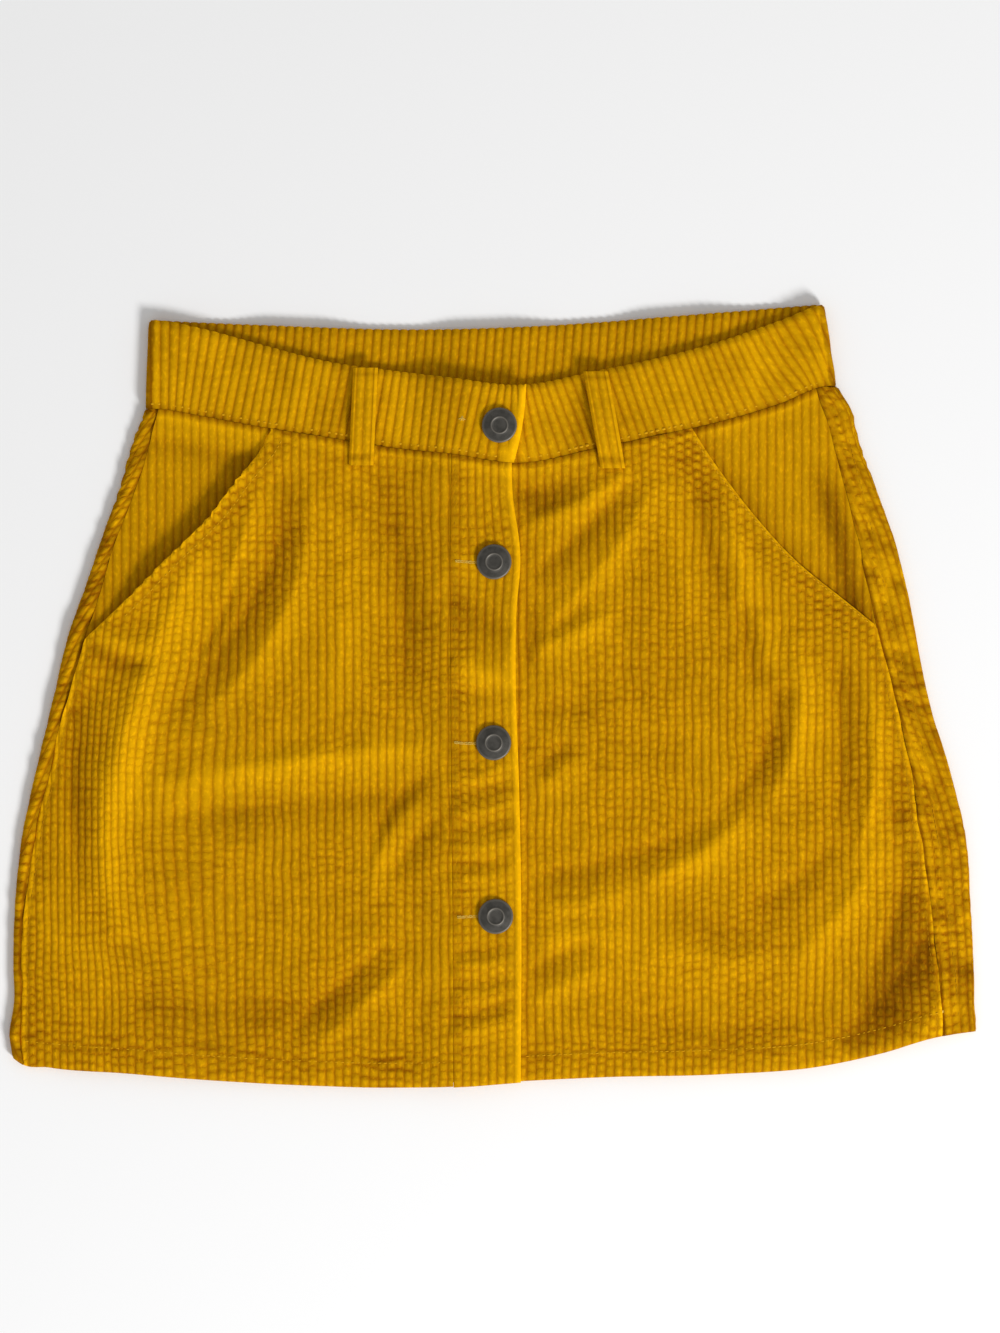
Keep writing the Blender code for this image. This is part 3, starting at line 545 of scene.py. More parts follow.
# %% One wale, and a panel's grid
WALE = 25.4 / 6
COLUMNS_IN_WALE = np.array([0.0, 0.12, 0.30, 0.50, 0.70, 0.88])
RIB = 0.27
PROUD = 0.2
ROW_STEP = 2.3
EDGE_STEPS = np.array([0.0, 0.35, 1.1])


def profile(u):
    """Height of the pile across the wales, from 0 in a valley to 1 on a crown."""
    return np.abs(np.sin(math.pi * u / WALE)) ** 0.8


def wale_columns(low, high):
    """Column places from low to high, six to a wale."""
    first = math.floor(low / WALE) - 1
    last = math.ceil(high / WALE) + 1
    return (np.arange(first, last)[:, None] + COLUMNS_IN_WALE).reshape(-1) * WALE


def rows_down(length, step=ROW_STEP):
    """Shares from 0 to 1 down a length, with close rows at both ends for a rounded edge."""
    inner = np.linspace(EDGE_STEPS[-1], length - EDGE_STEPS[-1], max(3, round(length / step)))
    return np.concatenate([EDGE_STEPS, inner[1:-1], length - EDGE_STEPS[::-1]]) / length


def away_from(path, x, y):
    """Distance from each point to a path, a line of (x, y) points."""
    nearest = np.full(np.broadcast(x, y).shape, 1e9)
    for (x0, y0), (x1, y1) in zip(path, path[1:]):
        dx, dy = x1 - x0, y1 - y0
        t = np.clip(((x - x0) * dx + (y - y0) * dy) / (dx * dx + dy * dy), 0, 1)
        nearest = np.minimum(nearest, np.hypot(x - x0 - t * dx, y - y0 - t * dy))
    return nearest


print("a wale is", round(WALE, 2), "mm wide")

# %% [markdown]
# ## Wear across the wales
# Years of sitting and washing mark pile across its rows. `slack` and `crumple` lift the cloth itself,
# `waver` bends its wales, `pinches` are small creases over a few wales, and `beads` counts off the round
# tufts into which each wale is broken. Each takes its own seeds, so that no two marks keep in step.

# %% Wear
BEAD = 4.5
PINCH = 11.0
PINCH_WIDTH = 0.13


def beads(u, y, seed, quilted=0.0):
    """A count of beads down each wale; where it is quilted, the beads lie in slanting rows."""
    wale = np.floor(u / WALE + 0.02)
    own = uneven(wale * 7.3, 0 * y, 1.0, seed) * 0.5 + 0.28 * uneven(wale * 5.1, y, 9, seed + 1)
    return y / BEAD + 0.7 * uneven(u, y, 26, seed + 2) + own * (1 - quilted) + 0.5 * wale


def waver(x, y):
    """How far the wales stray sideways from their line."""
    return 0.5 * uneven(x, y, 17, 81) + 0.28 * uneven(x, y, 7, 82)


def crumple(x, y):
    """A net of small sharp wrinkles between the creases."""
    wide = 0.35 - np.abs(uneven(x + 0.4 * y, y, 25, 91))
    small = 0.35 - np.abs(uneven(x - 0.3 * y, y, 12, 92))
    return 0.65 * wide + 0.4 * small


def slack(x, y):
    """Slow rises and falls of cloth that has been worn."""
    return 0.5 * uneven(x, y, 27, 7) + 0.15 * uneven(x, y, 12, 8)


def pinches(u, y, seed):
    """Depth of the soft creases that cross a few wales at a time, from 0 to 1."""
    beat = y / PINCH + 0.9 * uneven(u, y, 30, seed) + 0.2 * uneven(u, y, 9, seed + 1)
    depth = np.clip(0.05 + 1.2 * uneven(u, y, 17, seed + 2), 0, 1)
    return near(0.5 - np.abs(beat % 1 - 0.5), PINCH_WIDTH) * depth


print("a bead is", BEAD, "mm long, and pinches are", PINCH, "mm apart")

# %% [markdown]
# ## Meshes
# Every piece here is a closed solid made from points and faces. `solid` turns its faces outwards, which a
# renderer and a printer both need. Values such as how worn a point is travel with the mesh as named
# attributes, and a UV map in metres lets the material's pattern keep its true size.

# %% Solids, values and maps
def signed_volume(mesh):
    """Volume of a closed mesh, below 0 where its faces point inwards."""
    mesh.calc_loop_triangles()
    points = np.empty(len(mesh.vertices) * 3, np.float32)
    mesh.vertices.foreach_get("co", points)
    corners = np.empty(len(mesh.loop_triangles) * 3, np.int32)
    mesh.loop_triangles.foreach_get("vertices", corners)
    a, b, c = points.reshape(-1, 3)[corners.reshape(-1, 3)].transpose(1, 0, 2).astype(float)
    return float((a * np.cross(b, c)).sum() / 6)


def solid(name, points, faces, sharp_degrees=None):
    """A closed piece from points in millimetres, with its faces turned outwards."""
    mesh = bpy.data.meshes.new(name)
    mesh.from_pydata((np.asarray(points) * MM).tolist(), [], faces)
    if signed_volume(mesh) < 0:
        mesh.flip_normals()
    mesh.shade_smooth()
    if sharp_degrees:
        mesh.set_sharp_from_angle(angle=math.radians(sharp_degrees))
    piece = bpy.data.objects.new(name, mesh)
    bpy.context.scene.collection.objects.link(piece)
    return piece


def lay_uv(mesh, u, v):
    """A UV map in metres: u across the wales and v along them."""
    corners = np.empty(len(mesh.loops), np.int32)
    mesh.loops.foreach_get("vertex_index", corners)
    layer = mesh.uv_layers.new(name="cut")
    layer.data.foreach_set("uv", np.stack([u[corners], v[corners]], -1).astype(np.float32).reshape(-1))


def give(mesh, name, values):
    """A named value on each point of a mesh."""
    layer = mesh.attributes.new(name, "FLOAT", "POINT")
    layer.data.foreach_set("value", np.asarray(values, np.float32))


# %% [markdown]
# ## A closed shell of cloth
# Every cloth piece goes through one function. It takes the grid of the cloth's middle, the way out at each
# point, and how far the two faces lie from the middle. It joins the two faces round the rim, so the piece
# is one closed wall. Where the outline crosses the wales, the columns past it fold onto the edge.

# %% The shell maker
SHARP_EDGE = 62
Grid = namedtuple("Grid", "u low high")


def clamped(columns, low, high):
    """A grid of column places in which each row's first and last lie on the piece's edge."""
    u = np.tile(columns, (len(low), 1))
    spare = 0.3
    first = np.maximum((u <= low[:, None] + spare).sum(axis=1) - 1, 0)
    last = u.shape[1] - np.maximum((u >= high[:, None] - spare).sum(axis=1), 1)
    rows = np.arange(len(low))
    u = np.clip(u, low[:, None], high[:, None])
    u[rows, first] = low
    u[rows, last] = high
    return Grid(u, first, last)


def compact(quads):
    """Faces from rows of four corners, with the ones that closed up left out."""
    top = quads[:, 0] == quads[:, 1]
    foot = quads[:, 2] == quads[:, 3]
    whole = quads[~top & ~foot].tolist()
    return whole + quads[top & ~foot][:, [0, 2, 3]].tolist() + quads[foot & ~top][:, [0, 1, 2]].tolist()


def shell(name, grid, middle, out, outer, inner, v, facts, both=False):
    """A closed wall of cloth; facts are values for its outer face that the finish reads."""
    rows, columns = grid.u.shape
    j = np.clip(np.arange(columns)[None], grid.low[:, None], grid.high[:, None])
    corner = np.arange(rows)[:, None] * columns + j
    used, index = np.unique(corner, return_inverse=True)
    index = index.reshape(corner.shape)
    count = len(used)
    out = np.broadcast_to(out, middle.shape)
    outer_face = (middle + out * outer[..., None]).reshape(-1, 3)[used]
    inner_face = (middle - out * np.broadcast_to(inner, (rows, columns))[..., None]).reshape(-1, 3)[used]
    quads = np.stack([index[:-1, :-1], index[:-1, 1:], index[1:, 1:], index[1:, :-1]], -1).reshape(-1, 4)
    faces = compact(quads) + compact(quads[:, ::-1] + count)
    left = [index[i, grid.low[i]] for i in range(rows)]
    right = [index[i, grid.high[i]] for i in range(rows)]
    top = list(index[0, grid.low[0]:grid.high[0] + 1])
    foot = list(index[-1, grid.low[-1]:grid.high[-1] + 1])
    rim = top + right[1:] + foot[::-1][1:] + left[::-1][1:-1]
    faces += [(int(b), int(a), int(a) + count, int(b) + count) for a, b in zip(rim, rim[1:] + rim[:1])]
    piece = solid(name, np.vstack([outer_face, inner_face]), faces, SHARP_EDGE)
    u = grid.u.reshape(-1)[used]
    v = np.broadcast_to(v, (rows, columns)).reshape(-1)[used]
    lay_uv(piece.data, np.tile(u, 2) * MM, np.tile(v, 2) * MM)
    for fact, values in facts.items():
        kept = np.broadcast_to(values, (rows, columns)).reshape(-1)[used]
        give(piece.data, fact, np.concatenate([kept, kept if both or fact == "painted_light_and_mottle" else kept * 0]))
    return piece


# %% [markdown]
# ## Shader sums
# A material's nodes are easier to read as sums. A `Wire` is one socket of a node tree; adding or
# multiplying wires adds the Math node for it. Its method `node` adds any node by its type, with its
# settings first and then what goes into its sockets, and the rest are short names for nodes used often.

# %% The wire
class Wire:
    """One socket of a node tree, which sums and products add nodes to."""

    def __init__(self, tree, socket=None):
        self.tree = tree
        self.socket = socket

    def node(self, kind, settings=None, sockets=None, out=0):
        """Adds a node, and returns the wire from one of its outputs."""
        made = self.tree.nodes.new(kind)
        for name, value in (settings or {}).items():
            setattr(made, name, value)
        for name, value in (sockets or {}).items():
            if isinstance(value, Wire):
                self.tree.links.new(value.socket, made.inputs[name])
            else:
                made.inputs[name].default_value = value
        return Wire(self.tree, made.outputs[out])

    def sum(self, operation, *terms):
        """A Math node with this operation and these terms."""
        return self.node("ShaderNodeMath", {"operation": operation}, dict(enumerate(terms)))

    def __add__(self, other):
        return self.sum("ADD", self, other)

    def __radd__(self, other):
        return self.sum("ADD", other, self)

    def __sub__(self, other):
        return self.sum("SUBTRACT", self, other)

    def __rsub__(self, other):
        return self.sum("SUBTRACT", other, self)

    def __mul__(self, other):
        return self.sum("MULTIPLY", self, other)

    def __rmul__(self, other):
        return self.sum("MULTIPLY", other, self)

    def __truediv__(self, other):
        return self.sum("DIVIDE", self, other)

    def __abs__(self):
        return self.sum("ABSOLUTE", self)

    def __pow__(self, power):
        return self.sum("POWER", self, power)

    def sine(self):
        return self.sum("SINE", self)

    def noise(self, scale, detail=2.0, roughness=0.5):
        """Noise over these places, from 0 to 1."""
        return self.node("ShaderNodeTexNoise", None,
                         {"Vector": self, "Scale": scale, "Detail": detail, "Roughness": roughness})

    def stretched(self, across, down):
        """These places scaled, so that a pattern over them grows longer one way."""
        return self.node("ShaderNodeMapping", None, {"Vector": self, "Scale": (across, down, 1.0)})

    def given(self, name):
        """A named value that the mesh carries."""
        return self.node("ShaderNodeAttribute", {"attribute_name": name}, out=2)

    def step(self, low, high):
        """A soft step from 0 at low to 1 at high."""
        return self.node("ShaderNodeMapRange", {"interpolation_type": "SMOOTHSTEP"},
                         {"Value": self, "From Min": low, "From Max": high})

    def blend(self, first, second):
        """The first colour where this is 0 and the second where it is 1."""
        return self.node("ShaderNodeMix", {"data_type": "RGBA"}, {0: self, 6: first, 7: second}, out=2)

    def shade(self, colour):
        """A colour made lighter or darker by this many times."""
        return self.node("ShaderNodeVectorMath", {"operation": "SCALE"}, {0: colour, "Scale": self})


def new_finish(name):
    """An empty material with its shader node and a wire to build from."""
    finish = bpy.data.materials.new(name)
    finish.use_nodes = True
    tree = finish.node_tree
    return finish, tree.nodes["Principled BSDF"], Wire(tree)


def plug(shader, sockets):
    """Puts wires and plain values into a shader's sockets."""
    for name, value in sockets.items():
        if isinstance(value, Wire):
            value.tree.links.new(value.socket, shader.inputs[name])
        else:
            shader.inputs[name].default_value = value


# %% [markdown]
# ## The corduroy finish
# Mustard cotton pile: crowns are golden and the valleys a deep orange-brown, partly because the base weave
# shows there and partly as painted shade in each valley and between the beads of a wale. Small worn marks
# cross the pile and break each wale into beads, and brushed patches are lighter or darker. The mesh says
# how ribbed and how beaded each point is, and how much painted light or shade it carries. The UV map is in
# metres, so a noise's scale is simply how many times it changes in a metre.

# %% Corduroy
CROWN_GOLD = (0.61, 0.305, 0.001, 1)
VALLEY_BROWN = (0.335, 0.113, 0.0005, 1)


def corduroy_finish():
    """Gold crowns and brown valleys, from the UV map and from what the mesh says of each point."""
    finish, shader, start = new_finish("mustard_corduroy")
    place = start.node("ShaderNodeUVMap", {"uv_map": "cut"})
    across = place.node("ShaderNodeSeparateXYZ", None, {0: place})
    ribbing, painted_light_and_mottle, beat, beading = [start.given(name) for name in ("ribbing", "painted_light_and_mottle", "beat", "beading")]

    wobble = place.noise(700.0) - 0.5
    crown = abs((across / (WALE * MM) * math.pi).sine()) ** 0.85
    bead = abs((beat * math.pi + wobble * 1.6).sine()) ** 0.9
    mound = crown * (1.0 - (1.0 - bead) * beading * 0.72) * ribbing + (1.0 - ribbing) * 0.8

    down_wales = place.stretched(1.0, 0.45)
    pile = down_wales.noise(1900.0, 3.0, 0.65)
    patches = place.noise(42.0, 3.0, 0.6)
    brushed = down_wales.noise(230.0)
    speck = down_wales.noise(800.0, 1.0)
    crossed = place.stretched(0.16, 1.0).noise(300.0, 0.0).step(0.52, 0.80) * beading
    # The blend to valley brown is partly the base weave and partly painted shade: in the valleys, between
    # beads and where the mesh carries painted shade. Painted light turns it golder.
    gold = (mound * 0.80 + pile * 0.38 + painted_light_and_mottle * 0.20 - crossed * 0.16).blend(VALLEY_BROWN, CROWN_GOLD)
    fleck = speck.step(0.54, 0.72)
    # Lightness: random patches, brushing and specks in the pile, plus the painted light and shade that the
    # mesh carries.
    light = 1.0 + (patches - 0.5) * 0.22 + (brushed - 0.5) * 0.30 + painted_light_and_mottle * 0.17 + (speck - 0.5) * 0.26
    colour = (light + fleck * 0.16 - crossed * 0.08).shade(gold)

    height = mound * 0.7 + pile * 0.12 + brushed * 0.10 - crossed * 0.12
    bump = start.node("ShaderNodeBump", None, {"Height": height, "Strength": 0.6, "Distance": 0.0007})
    plug(shader, {
        "Base Color": colour,
        "Roughness": 0.82 + pile * 0.12,
        "Normal": bump,
        "Specular IOR Level": 0.02,
        "Sheen Weight": 0.06,
        "Sheen Roughness": 0.5,
        "Sheen Tint": (1.0, 0.66, 0.0, 1),
    })
    print(finish.name, len(finish.node_tree.nodes), "nodes")
    return finish


corduroy = corduroy_finish()

# %% [markdown]
# ## Thread and metal
# The topstitching is a polyester thread a little lighter than the cloth. The buttonholes are worked in a
# paler one. A thread is two plies twisted together, which reads as fine slanting stripes, with painted
# shade between the plies. The buttons are brass plated in dark gunmetal, brushed in rings and rubbed
# brighter on their high edges.

# %% Threads and gunmetal
def thread_finish(name, colour, dark):
    """A twisted thread, with painted shade between its plies."""
    finish, shader, start = new_finish(name)
    place = start.node("ShaderNodeTexCoord", None, None, out=3)
    twist = start.node("ShaderNodeTexWave", {"bands_direction": "DIAGONAL"},
                       {"Vector": place, "Scale": 1400.0, "Distortion": 1.5, "Detail": 1.0})
    fuzz = place.noise(2200.0)
    bump = start.node("ShaderNodeBump", None, {"Height": twist, "Strength": 0.4, "Distance": 0.0001})
    plug(shader, {
        "Base Color": (twist * 0.6 + fuzz * 0.5).step(0.15, 0.9).blend(dark, colour),
        "Roughness": 0.5 + fuzz * 0.3,
        "Normal": bump,
        "Specular IOR Level": 0.06,
    })
    return finish


def gunmetal_finish():
    """Dark plating, blotched, and paler where the mesh says that it is worn."""
    finish, shader, start = new_finish("gunmetal_plate")
    place = start.node("ShaderNodeTexCoord", None, None, out=3)
    grain = place.noise(1500.0, 4.0, 0.7)
    worn = start.given("worn")
    dark = place.noise(260.0, 3.0).step(0.3, 0.7).blend((0.046, 0.043, 0.036, 1), (0.078, 0.072, 0.062, 1))
    bump = start.node("ShaderNodeBump", None, {"Height": grain, "Strength": 0.25, "Distance": 0.0001})
    plug(shader, {
        "Base Color": worn.blend(dark, (0.19, 0.172, 0.145, 1)),
        "Metallic": 0.6,
        "Roughness": 0.50 + grain * 0.18 - worn * 0.1,
        "Normal": bump,
    })
    return finish


golden_thread = thread_finish("golden_thread", (0.74, 0.39, 0.006, 1), (0.55, 0.26, 0.004, 1))
toned_thread = thread_finish("toned_thread", (0.60, 0.30, 0.006, 1), (0.38, 0.16, 0.001, 1))
pale_thread = thread_finish("pale_thread", (0.84, 0.62, 0.14, 1), (0.60, 0.38, 0.05, 1))
gunmetal = gunmetal_finish()
print("finishes", [finish.name for finish in (golden_thread, toned_thread, pale_thread, gunmetal)])

# %% [markdown]
# ## A panel
# The fronts, the placket and the pocket facings are flat cuts, so they share a recipe: two edges down
# the skirt, two across it, a level, and the lean of its wales. The level and the stitch lines shape the
# middle; wales and beads shape the outer face.

# %% What panels share
Panel = namedtuple("Panel", "x_left x_right y_top y_foot lean level thick phase")
ROLL_REACH = 1.5
PAINTED_EDGE_WIDTH = 2.0
STITCH_WIDTH = 1.2
STITCH_PULL = 0.35
STITCH_GATHERS = 6.0
PUCKER_ROW = 4.2
PUCKER_WIDTH = 1.8
built = {}
PAINTED_SHADE_CREASES = {}


def edge_places(x_of_y, panel, steps):
    """Where an edge down the skirt lies, for each row of the panel."""
    y = panel.y_top(0.0) * (1 - steps) + panel.y_foot(0.0) * steps
    for _ in range(30):
        x = x_of_y(y)
        y = panel.y_top(x) * (1 - steps) + panel.y_foot(x) * steps
    return x, y


def rounded(distance, reach):
    """1 at an edge, easing to 0 within reach of it."""
    return 1 - ease(distance / reach)


def painted_crease_shade(name, x, y):
    """Painted light on the ridges of a piece's creases and painted shade in their troughs."""
    table = PAINTED_SHADE_CREASES.get(name)
    return np.clip(creased(table, x, y) / 1.8, -1.8, 1.3) if table else np.zeros(np.broadcast(x, y).shape)


def sheet_area(grid, middle):
    """Area of the cloth's middle in square metres."""
    a = middle[:-1, :-1]
    b = middle[:-1, 1:]
    c = middle[1:, 1:]
    d = middle[1:, :-1]
    j = np.arange(grid.u.shape[1] - 1)[None]
    kept = (j >= np.minimum(grid.low[:-1], grid.low[1:])[:, None])
    kept &= (j < np.maximum(grid.high[:-1], grid.high[1:])[:, None])
    whole = np.linalg.norm(np.cross(b - a, c - a), axis=-1) + np.linalg.norm(np.cross(c - a, d - a), axis=-1)
    return float((whole / 2 * kept).sum()) * MM * MM


def settle(piece, finish, slot, *nodes):
    """Gives a piece its finish and its place in the frame."""
    piece.data.materials.append(finish)
    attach(piece, "root")
    if nodes:
        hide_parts(*nodes)
    return piece


print("stitches press", STITCH_PULL, "mm into the cloth")

# %% [markdown]
# ## The panel recipe
# First the grid: its columns run down the wales, so a column's place is where its wale would be if the
# wales were plumb, and the lean is added after. Then what happens near edges and stitches: they round,
# press and bead the cloth, and carry painted light and shade. Last the two things that make cloth: the
# middle, which creases bend, and the outer face, which pile thickens.

# %% Laying a panel
def lay_panel(name, panel, stitched=(), roll=(1.0, 1.0, 0.3, 1.0), painted_edges=(0.0, 0.0, 0.0, 0.0), quilt=None,
              beading=1.0, smooth_edge=None, ribs=1.0, wander=1.0, shade=None):
    """A panel's shell; roll is how much its left, right, top and foot edges round, and the next tuple how
    much painted highlight each carries, or painted shade where it is below 0.
    """
    def leaned(x, y):
        return panel.lean(x, y) + wander * waver(x, y)

    steps = rows_down(max(100.0, float(panel.y_top(0.0) - panel.y_foot(0.0))))
    xl, yl = edge_places(panel.x_left, panel, steps)
    xr, yr = edge_places(panel.x_right, panel, steps)
    low = xl - leaned(xl, yl)
    high = xr - leaned(xr, yr)
    grid = clamped(wale_columns(low.min(), high.max()) + panel.phase, low, high)
    share = steps[:, None]
    x = grid.u
    for _ in range(6):
        y = panel.y_top(x) * (1 - share) + panel.y_foot(x) * share
        x = grid.u + leaned(x, y)
    length = panel.y_top(x) - panel.y_foot(x)
    from_edges = (x - xl[:, None], xr[:, None] - x, share * length, (1 - share) * length)
    rolled = np.maximum.reduce([much * rounded(away, ROLL_REACH) for much, away in zip(roll, from_edges)])
    # Painted highlight along the edges, painted shade where an edge's weight is below 0, and a row of painted
    # light just below the top edge, where the cloth puckers.
    painted_at_edges = sum(much * near(away, PAINTED_EDGE_WIDTH) for much, away in zip(painted_edges, from_edges))
    painted_at_edges = painted_at_edges + near(from_edges[2] - PUCKER_ROW, PUCKER_WIDTH)

    stitch = np.zeros(x.shape)
    near_stitch = np.zeros(x.shape)
    for path in stitched:
        away = away_from(path, x, y)
        stitch = np.maximum(stitch, near(away, STITCH_WIDTH))
        near_stitch = np.maximum(near_stitch, near(away, STITCH_GATHERS))
    ribbing = ribs * (1 - 0.5 * stitch)
    if smooth_edge:
        ribbing = ribbing * smooth_edge(x, y)
    quilted = quilt(x, y) if quilt else 0 * x
    u = grid.u - panel.phase
    depth = np.clip(0.7 + 0.45 * uneven(u, y, 26, 5), 0.1, 1) * beading
    depth = depth + 0.8 * np.maximum(quilted, near_stitch * beading)
    pinch = pinches(u, y, 41) * beading
    crumpled = wander * crumple(x, y)
    level = panel.level(x, y) + wander * slack(x, y) + crumpled - STITCH_PULL * stitch
    pile = RIB * ribbing * (profile(u) - 1) - 0.35 * pinch
    outer = panel.thick / 2 + PROUD + pile - 0.5 * panel.thick * rolled
    middle = np.dstack([x, y, level])
    # Painted light and shade: from the creases and the edges, darker in pinches and along stitches, lighter
    # on the crumpled wrinkles.
    painted_light_and_mottle = painted_crease_shade(name, x, y) + painted_at_edges - 0.3 * pinch - 0.8 * stitch + 0.4 * crumpled
    if shade:
        painted_light_and_mottle = painted_light_and_mottle + shade(x, y)
    facts = {"ribbing": ribbing, "painted_light_and_mottle": painted_light_and_mottle, "beat": beads(u, y, 51, quilted), "beading": depth}
    piece = shell(name, grid._replace(u=u), middle, (0, 0, 1), outer, panel.thick / 2, y, facts)
    built[name] = sheet_area(grid, middle)
    print(name, len(piece.data.polygons), "faces,", round(built[name], 4), "square metres")
    return piece


# %% [markdown]
# ## Stitch lines
# Topstitching runs beside every seam. Each line is a path of points, used twice: the panel under it is
# pressed down along it, and thread is laid on it later.

# %% Paths
MOUTH_STITCH_LEFT = 7.4
MOUTH_STITCH_RIGHT = 1.9
HEM_DEPTH = 12.0


def path_across(y_of_x, start, end, count=28):
    """Points along a line that crosses the skirt."""
    x = np.linspace(start, end, count)
    return list(zip(x.tolist(), y_of_x(x).tolist()))


def path_down(x_of_y, start, end, count=28):
    """Points along a line that runs down the skirt."""
    y = np.linspace(start, end, count)
    return list(zip(x_of_y(y).tolist(), y.tolist()))


def hem_line(x):
    """The hem's stitch line."""
    return hem(x) + HEM_DEPTH


mouth_stitch_left = path_down(lambda y: mouth_left(y) + MOUTH_STITCH_LEFT, 124, 38)
mouth_stitch_right = path_down(lambda y: mouth_right(y) - MOUTH_STITCH_RIGHT, 124, 36)
hem_stitch_left = path_across(hem_line, -227, -21)
hem_stitch_right = path_across(hem_line, 16, 217)
side_stitch_left = path_down(lambda y: seam_left(y) + 3.0, 28, -176)
side_stitch_right = path_down(lambda y: seam_right(y) - 3.0, 24, -160)
placket_stitch = path_down(lambda y: placket_seam(y) + 1.9, 116, -176)
print("hem stitched", HEM_DEPTH, "mm up, left mouth", MOUTH_STITCH_LEFT, "mm in")

# %% [markdown]
# ## The two fronts
# The left front's wales lean over the hip, and its pocket mouth is turned and stitched well in, which
# quilts the wales beside it. The right front's mouth is stitched close to its edge, and the cloth beside
# its side seam lies in shade. Both are hemmed.

# %% The two fronts
def plumb(x, y):
    """Wales that don't lean."""
    return 0.0 * x + 0.0 * y


def hip_lean(x, y):
    """The left front's wales lean out over the hip."""
    over_hip = near(x + 172, 34)
    return -13.0 * over_hip * ease((62 - y) / 110) + 5.0 * over_hip * ease((-70 - y) / 90)


def quilted_left(x, y):
    """1 beside the left pocket's mouth, where stitching has drawn the wales into round beads."""
    return (1 - ease((x - mouth_left(y) - 10) / 10)) * ease((y - 20) / 20)


def scallop(y):
    """A mouth's edge bulges a little where each wale is turned over it."""
    return 0.6 - 1.3 * np.abs(np.sin(math.pi * y / 4.9 + uneven(y, 0 * y, 11, 77)))


def quilted_right(x, y):
    """Likewise beside the right mouth, over a wider strip and less sharply."""
    return (1 - ease((mouth_right(y) - x - 14) / 14)) * ease((y - 5) / 20)


SEAM_SHADE = (Crease(208, -92, 197, -130, 170, -172, 15, -1.1),)
# These crease tables also paint light on each piece's crease ridges and shade in its troughs.
PAINTED_SHADE_CREASES["front_left_cord"] = LEFT_CREASES
PAINTED_SHADE_CREASES["front_right_cord"] = RIGHT_CREASES
PAINTED_SHADE_CREASES["placket_cord"] = LAP_CREASES

front_left_panel = Panel(
    lambda y: np.maximum(mouth_left(y) + scallop(y), seam_left(y) + SEAM_GAP),
    lambda y: placket_seam(y) - SEAM_GAP,
    lambda x: front_seam(x) - SEAM_GAP,
    hem, hip_lean, front_left_level, CLOTH, 0.0,
)
# The mouth's edge carries a painted highlight, and the top edge painted shade under the band.
front_left = lay_panel("front_left_cord", front_left_panel,
                       (mouth_stitch_left, hem_stitch_left, side_stitch_left),
                       roll=(0.9, 0.05, 0.2, 1.0), painted_edges=(3.0, 0.0, -1.5, 0.0), quilt=quilted_left)
settle(front_left, corduroy, "corduroy", "front_left")

front_right_panel = Panel(
    lambda y: UNDERLAP_END + 0.0 * y,
    lambda y: np.minimum(mouth_right(y), seam_right(y) - SEAM_GAP),
    lambda x: front_seam(x) - SEAM_GAP,
    hem, plumb, front_right_level, CLOTH, 0.0,
)
# Likewise a painted highlight along the mouth, painted shade under the band, and painted shade beside the
# side seam.
front_right = lay_panel("front_right_cord", front_right_panel,
                        (mouth_stitch_right, hem_stitch_right, side_stitch_right),
                        roll=(1.0, 0.5, 0.2, 1.0), painted_edges=(0.0, 1.6, -1.5, 0.0), quilt=quilted_right,
                        shade=lambda x, y: creased(SEAM_SHADE, x, y))
settle(front_right, corduroy, "corduroy", "front_right")

# %% [markdown]
# ## The placket
# The lap's edge is one folded strip, stitched down its left side. The fold itself is smooth, because the
# wale on it is stretched open, so the wales fade out just before it, and a painted highlight runs along it.

# %% Placket
def placket_lean(x, y):
    """The placket's wales follow its two edges."""
    share = np.clip((x + 20) / 33, 0, 1)
    return (placket_seam(y) + 20) * (1 - share) + (placket_edge(y) - 13) * share


def placket_fold(x, y):
    """0 on the lap's folded edge and 1 where the wales have risen beside it."""
    return ease((placket_edge(y) - x - 2.2) / 2.6)


placket_panel = Panel(placket_seam, placket_edge, lambda x: front_seam(x) - SEAM_GAP,
                      lambda x: hem(x) - 0.4, placket_lean, placket_level, PLACKET, 1.2)
placket = lay_panel("placket_cord", placket_panel, (placket_stitch,), smooth_edge=placket_fold, wander=0.5,
                    roll=(0.05, 1.0, 0.2, 1.0), painted_edges=(0.0, 2.0, -1.5, 0.0), shade=lambda x, y: 0.1 + 0 * x)
settle(placket, corduroy, "corduroy", "placket")

# %% [markdown]
# ## Pocket facings
# A facing fills each slanted mouth and runs in under the front. It has seen little wear, so its wales are
# smooth and hardly beaded.

# %% Facings
def facing_shade(x, y):
    """Lighter over the seam's turnings; darker below them, in the mouth, and where the right one sinks."""
    below = front_seam(x) - y
    pad = 0.5 * (1 - ease((below - 12) / 3)) - 0.6 * near(below - 17, 5)
    in_mouth = np.clip(mouth_left(y) - x, 0, None)
    deep = 1.1 * np.exp(-in_mouth / 15) * ease((below - 8) / 14)
    beside_mouth = 1.3 * np.exp(-np.clip(x - mouth_right(y), 0, None) / 7)
    beside_seam = 2.2 * near(seam_right(y) - 9 - x, 6) * ease((120 - y) / 30)
    return 0.1 + (pad - deep) * ease(-x / 40) - (beside_mouth + beside_seam) * ease(x / 40)


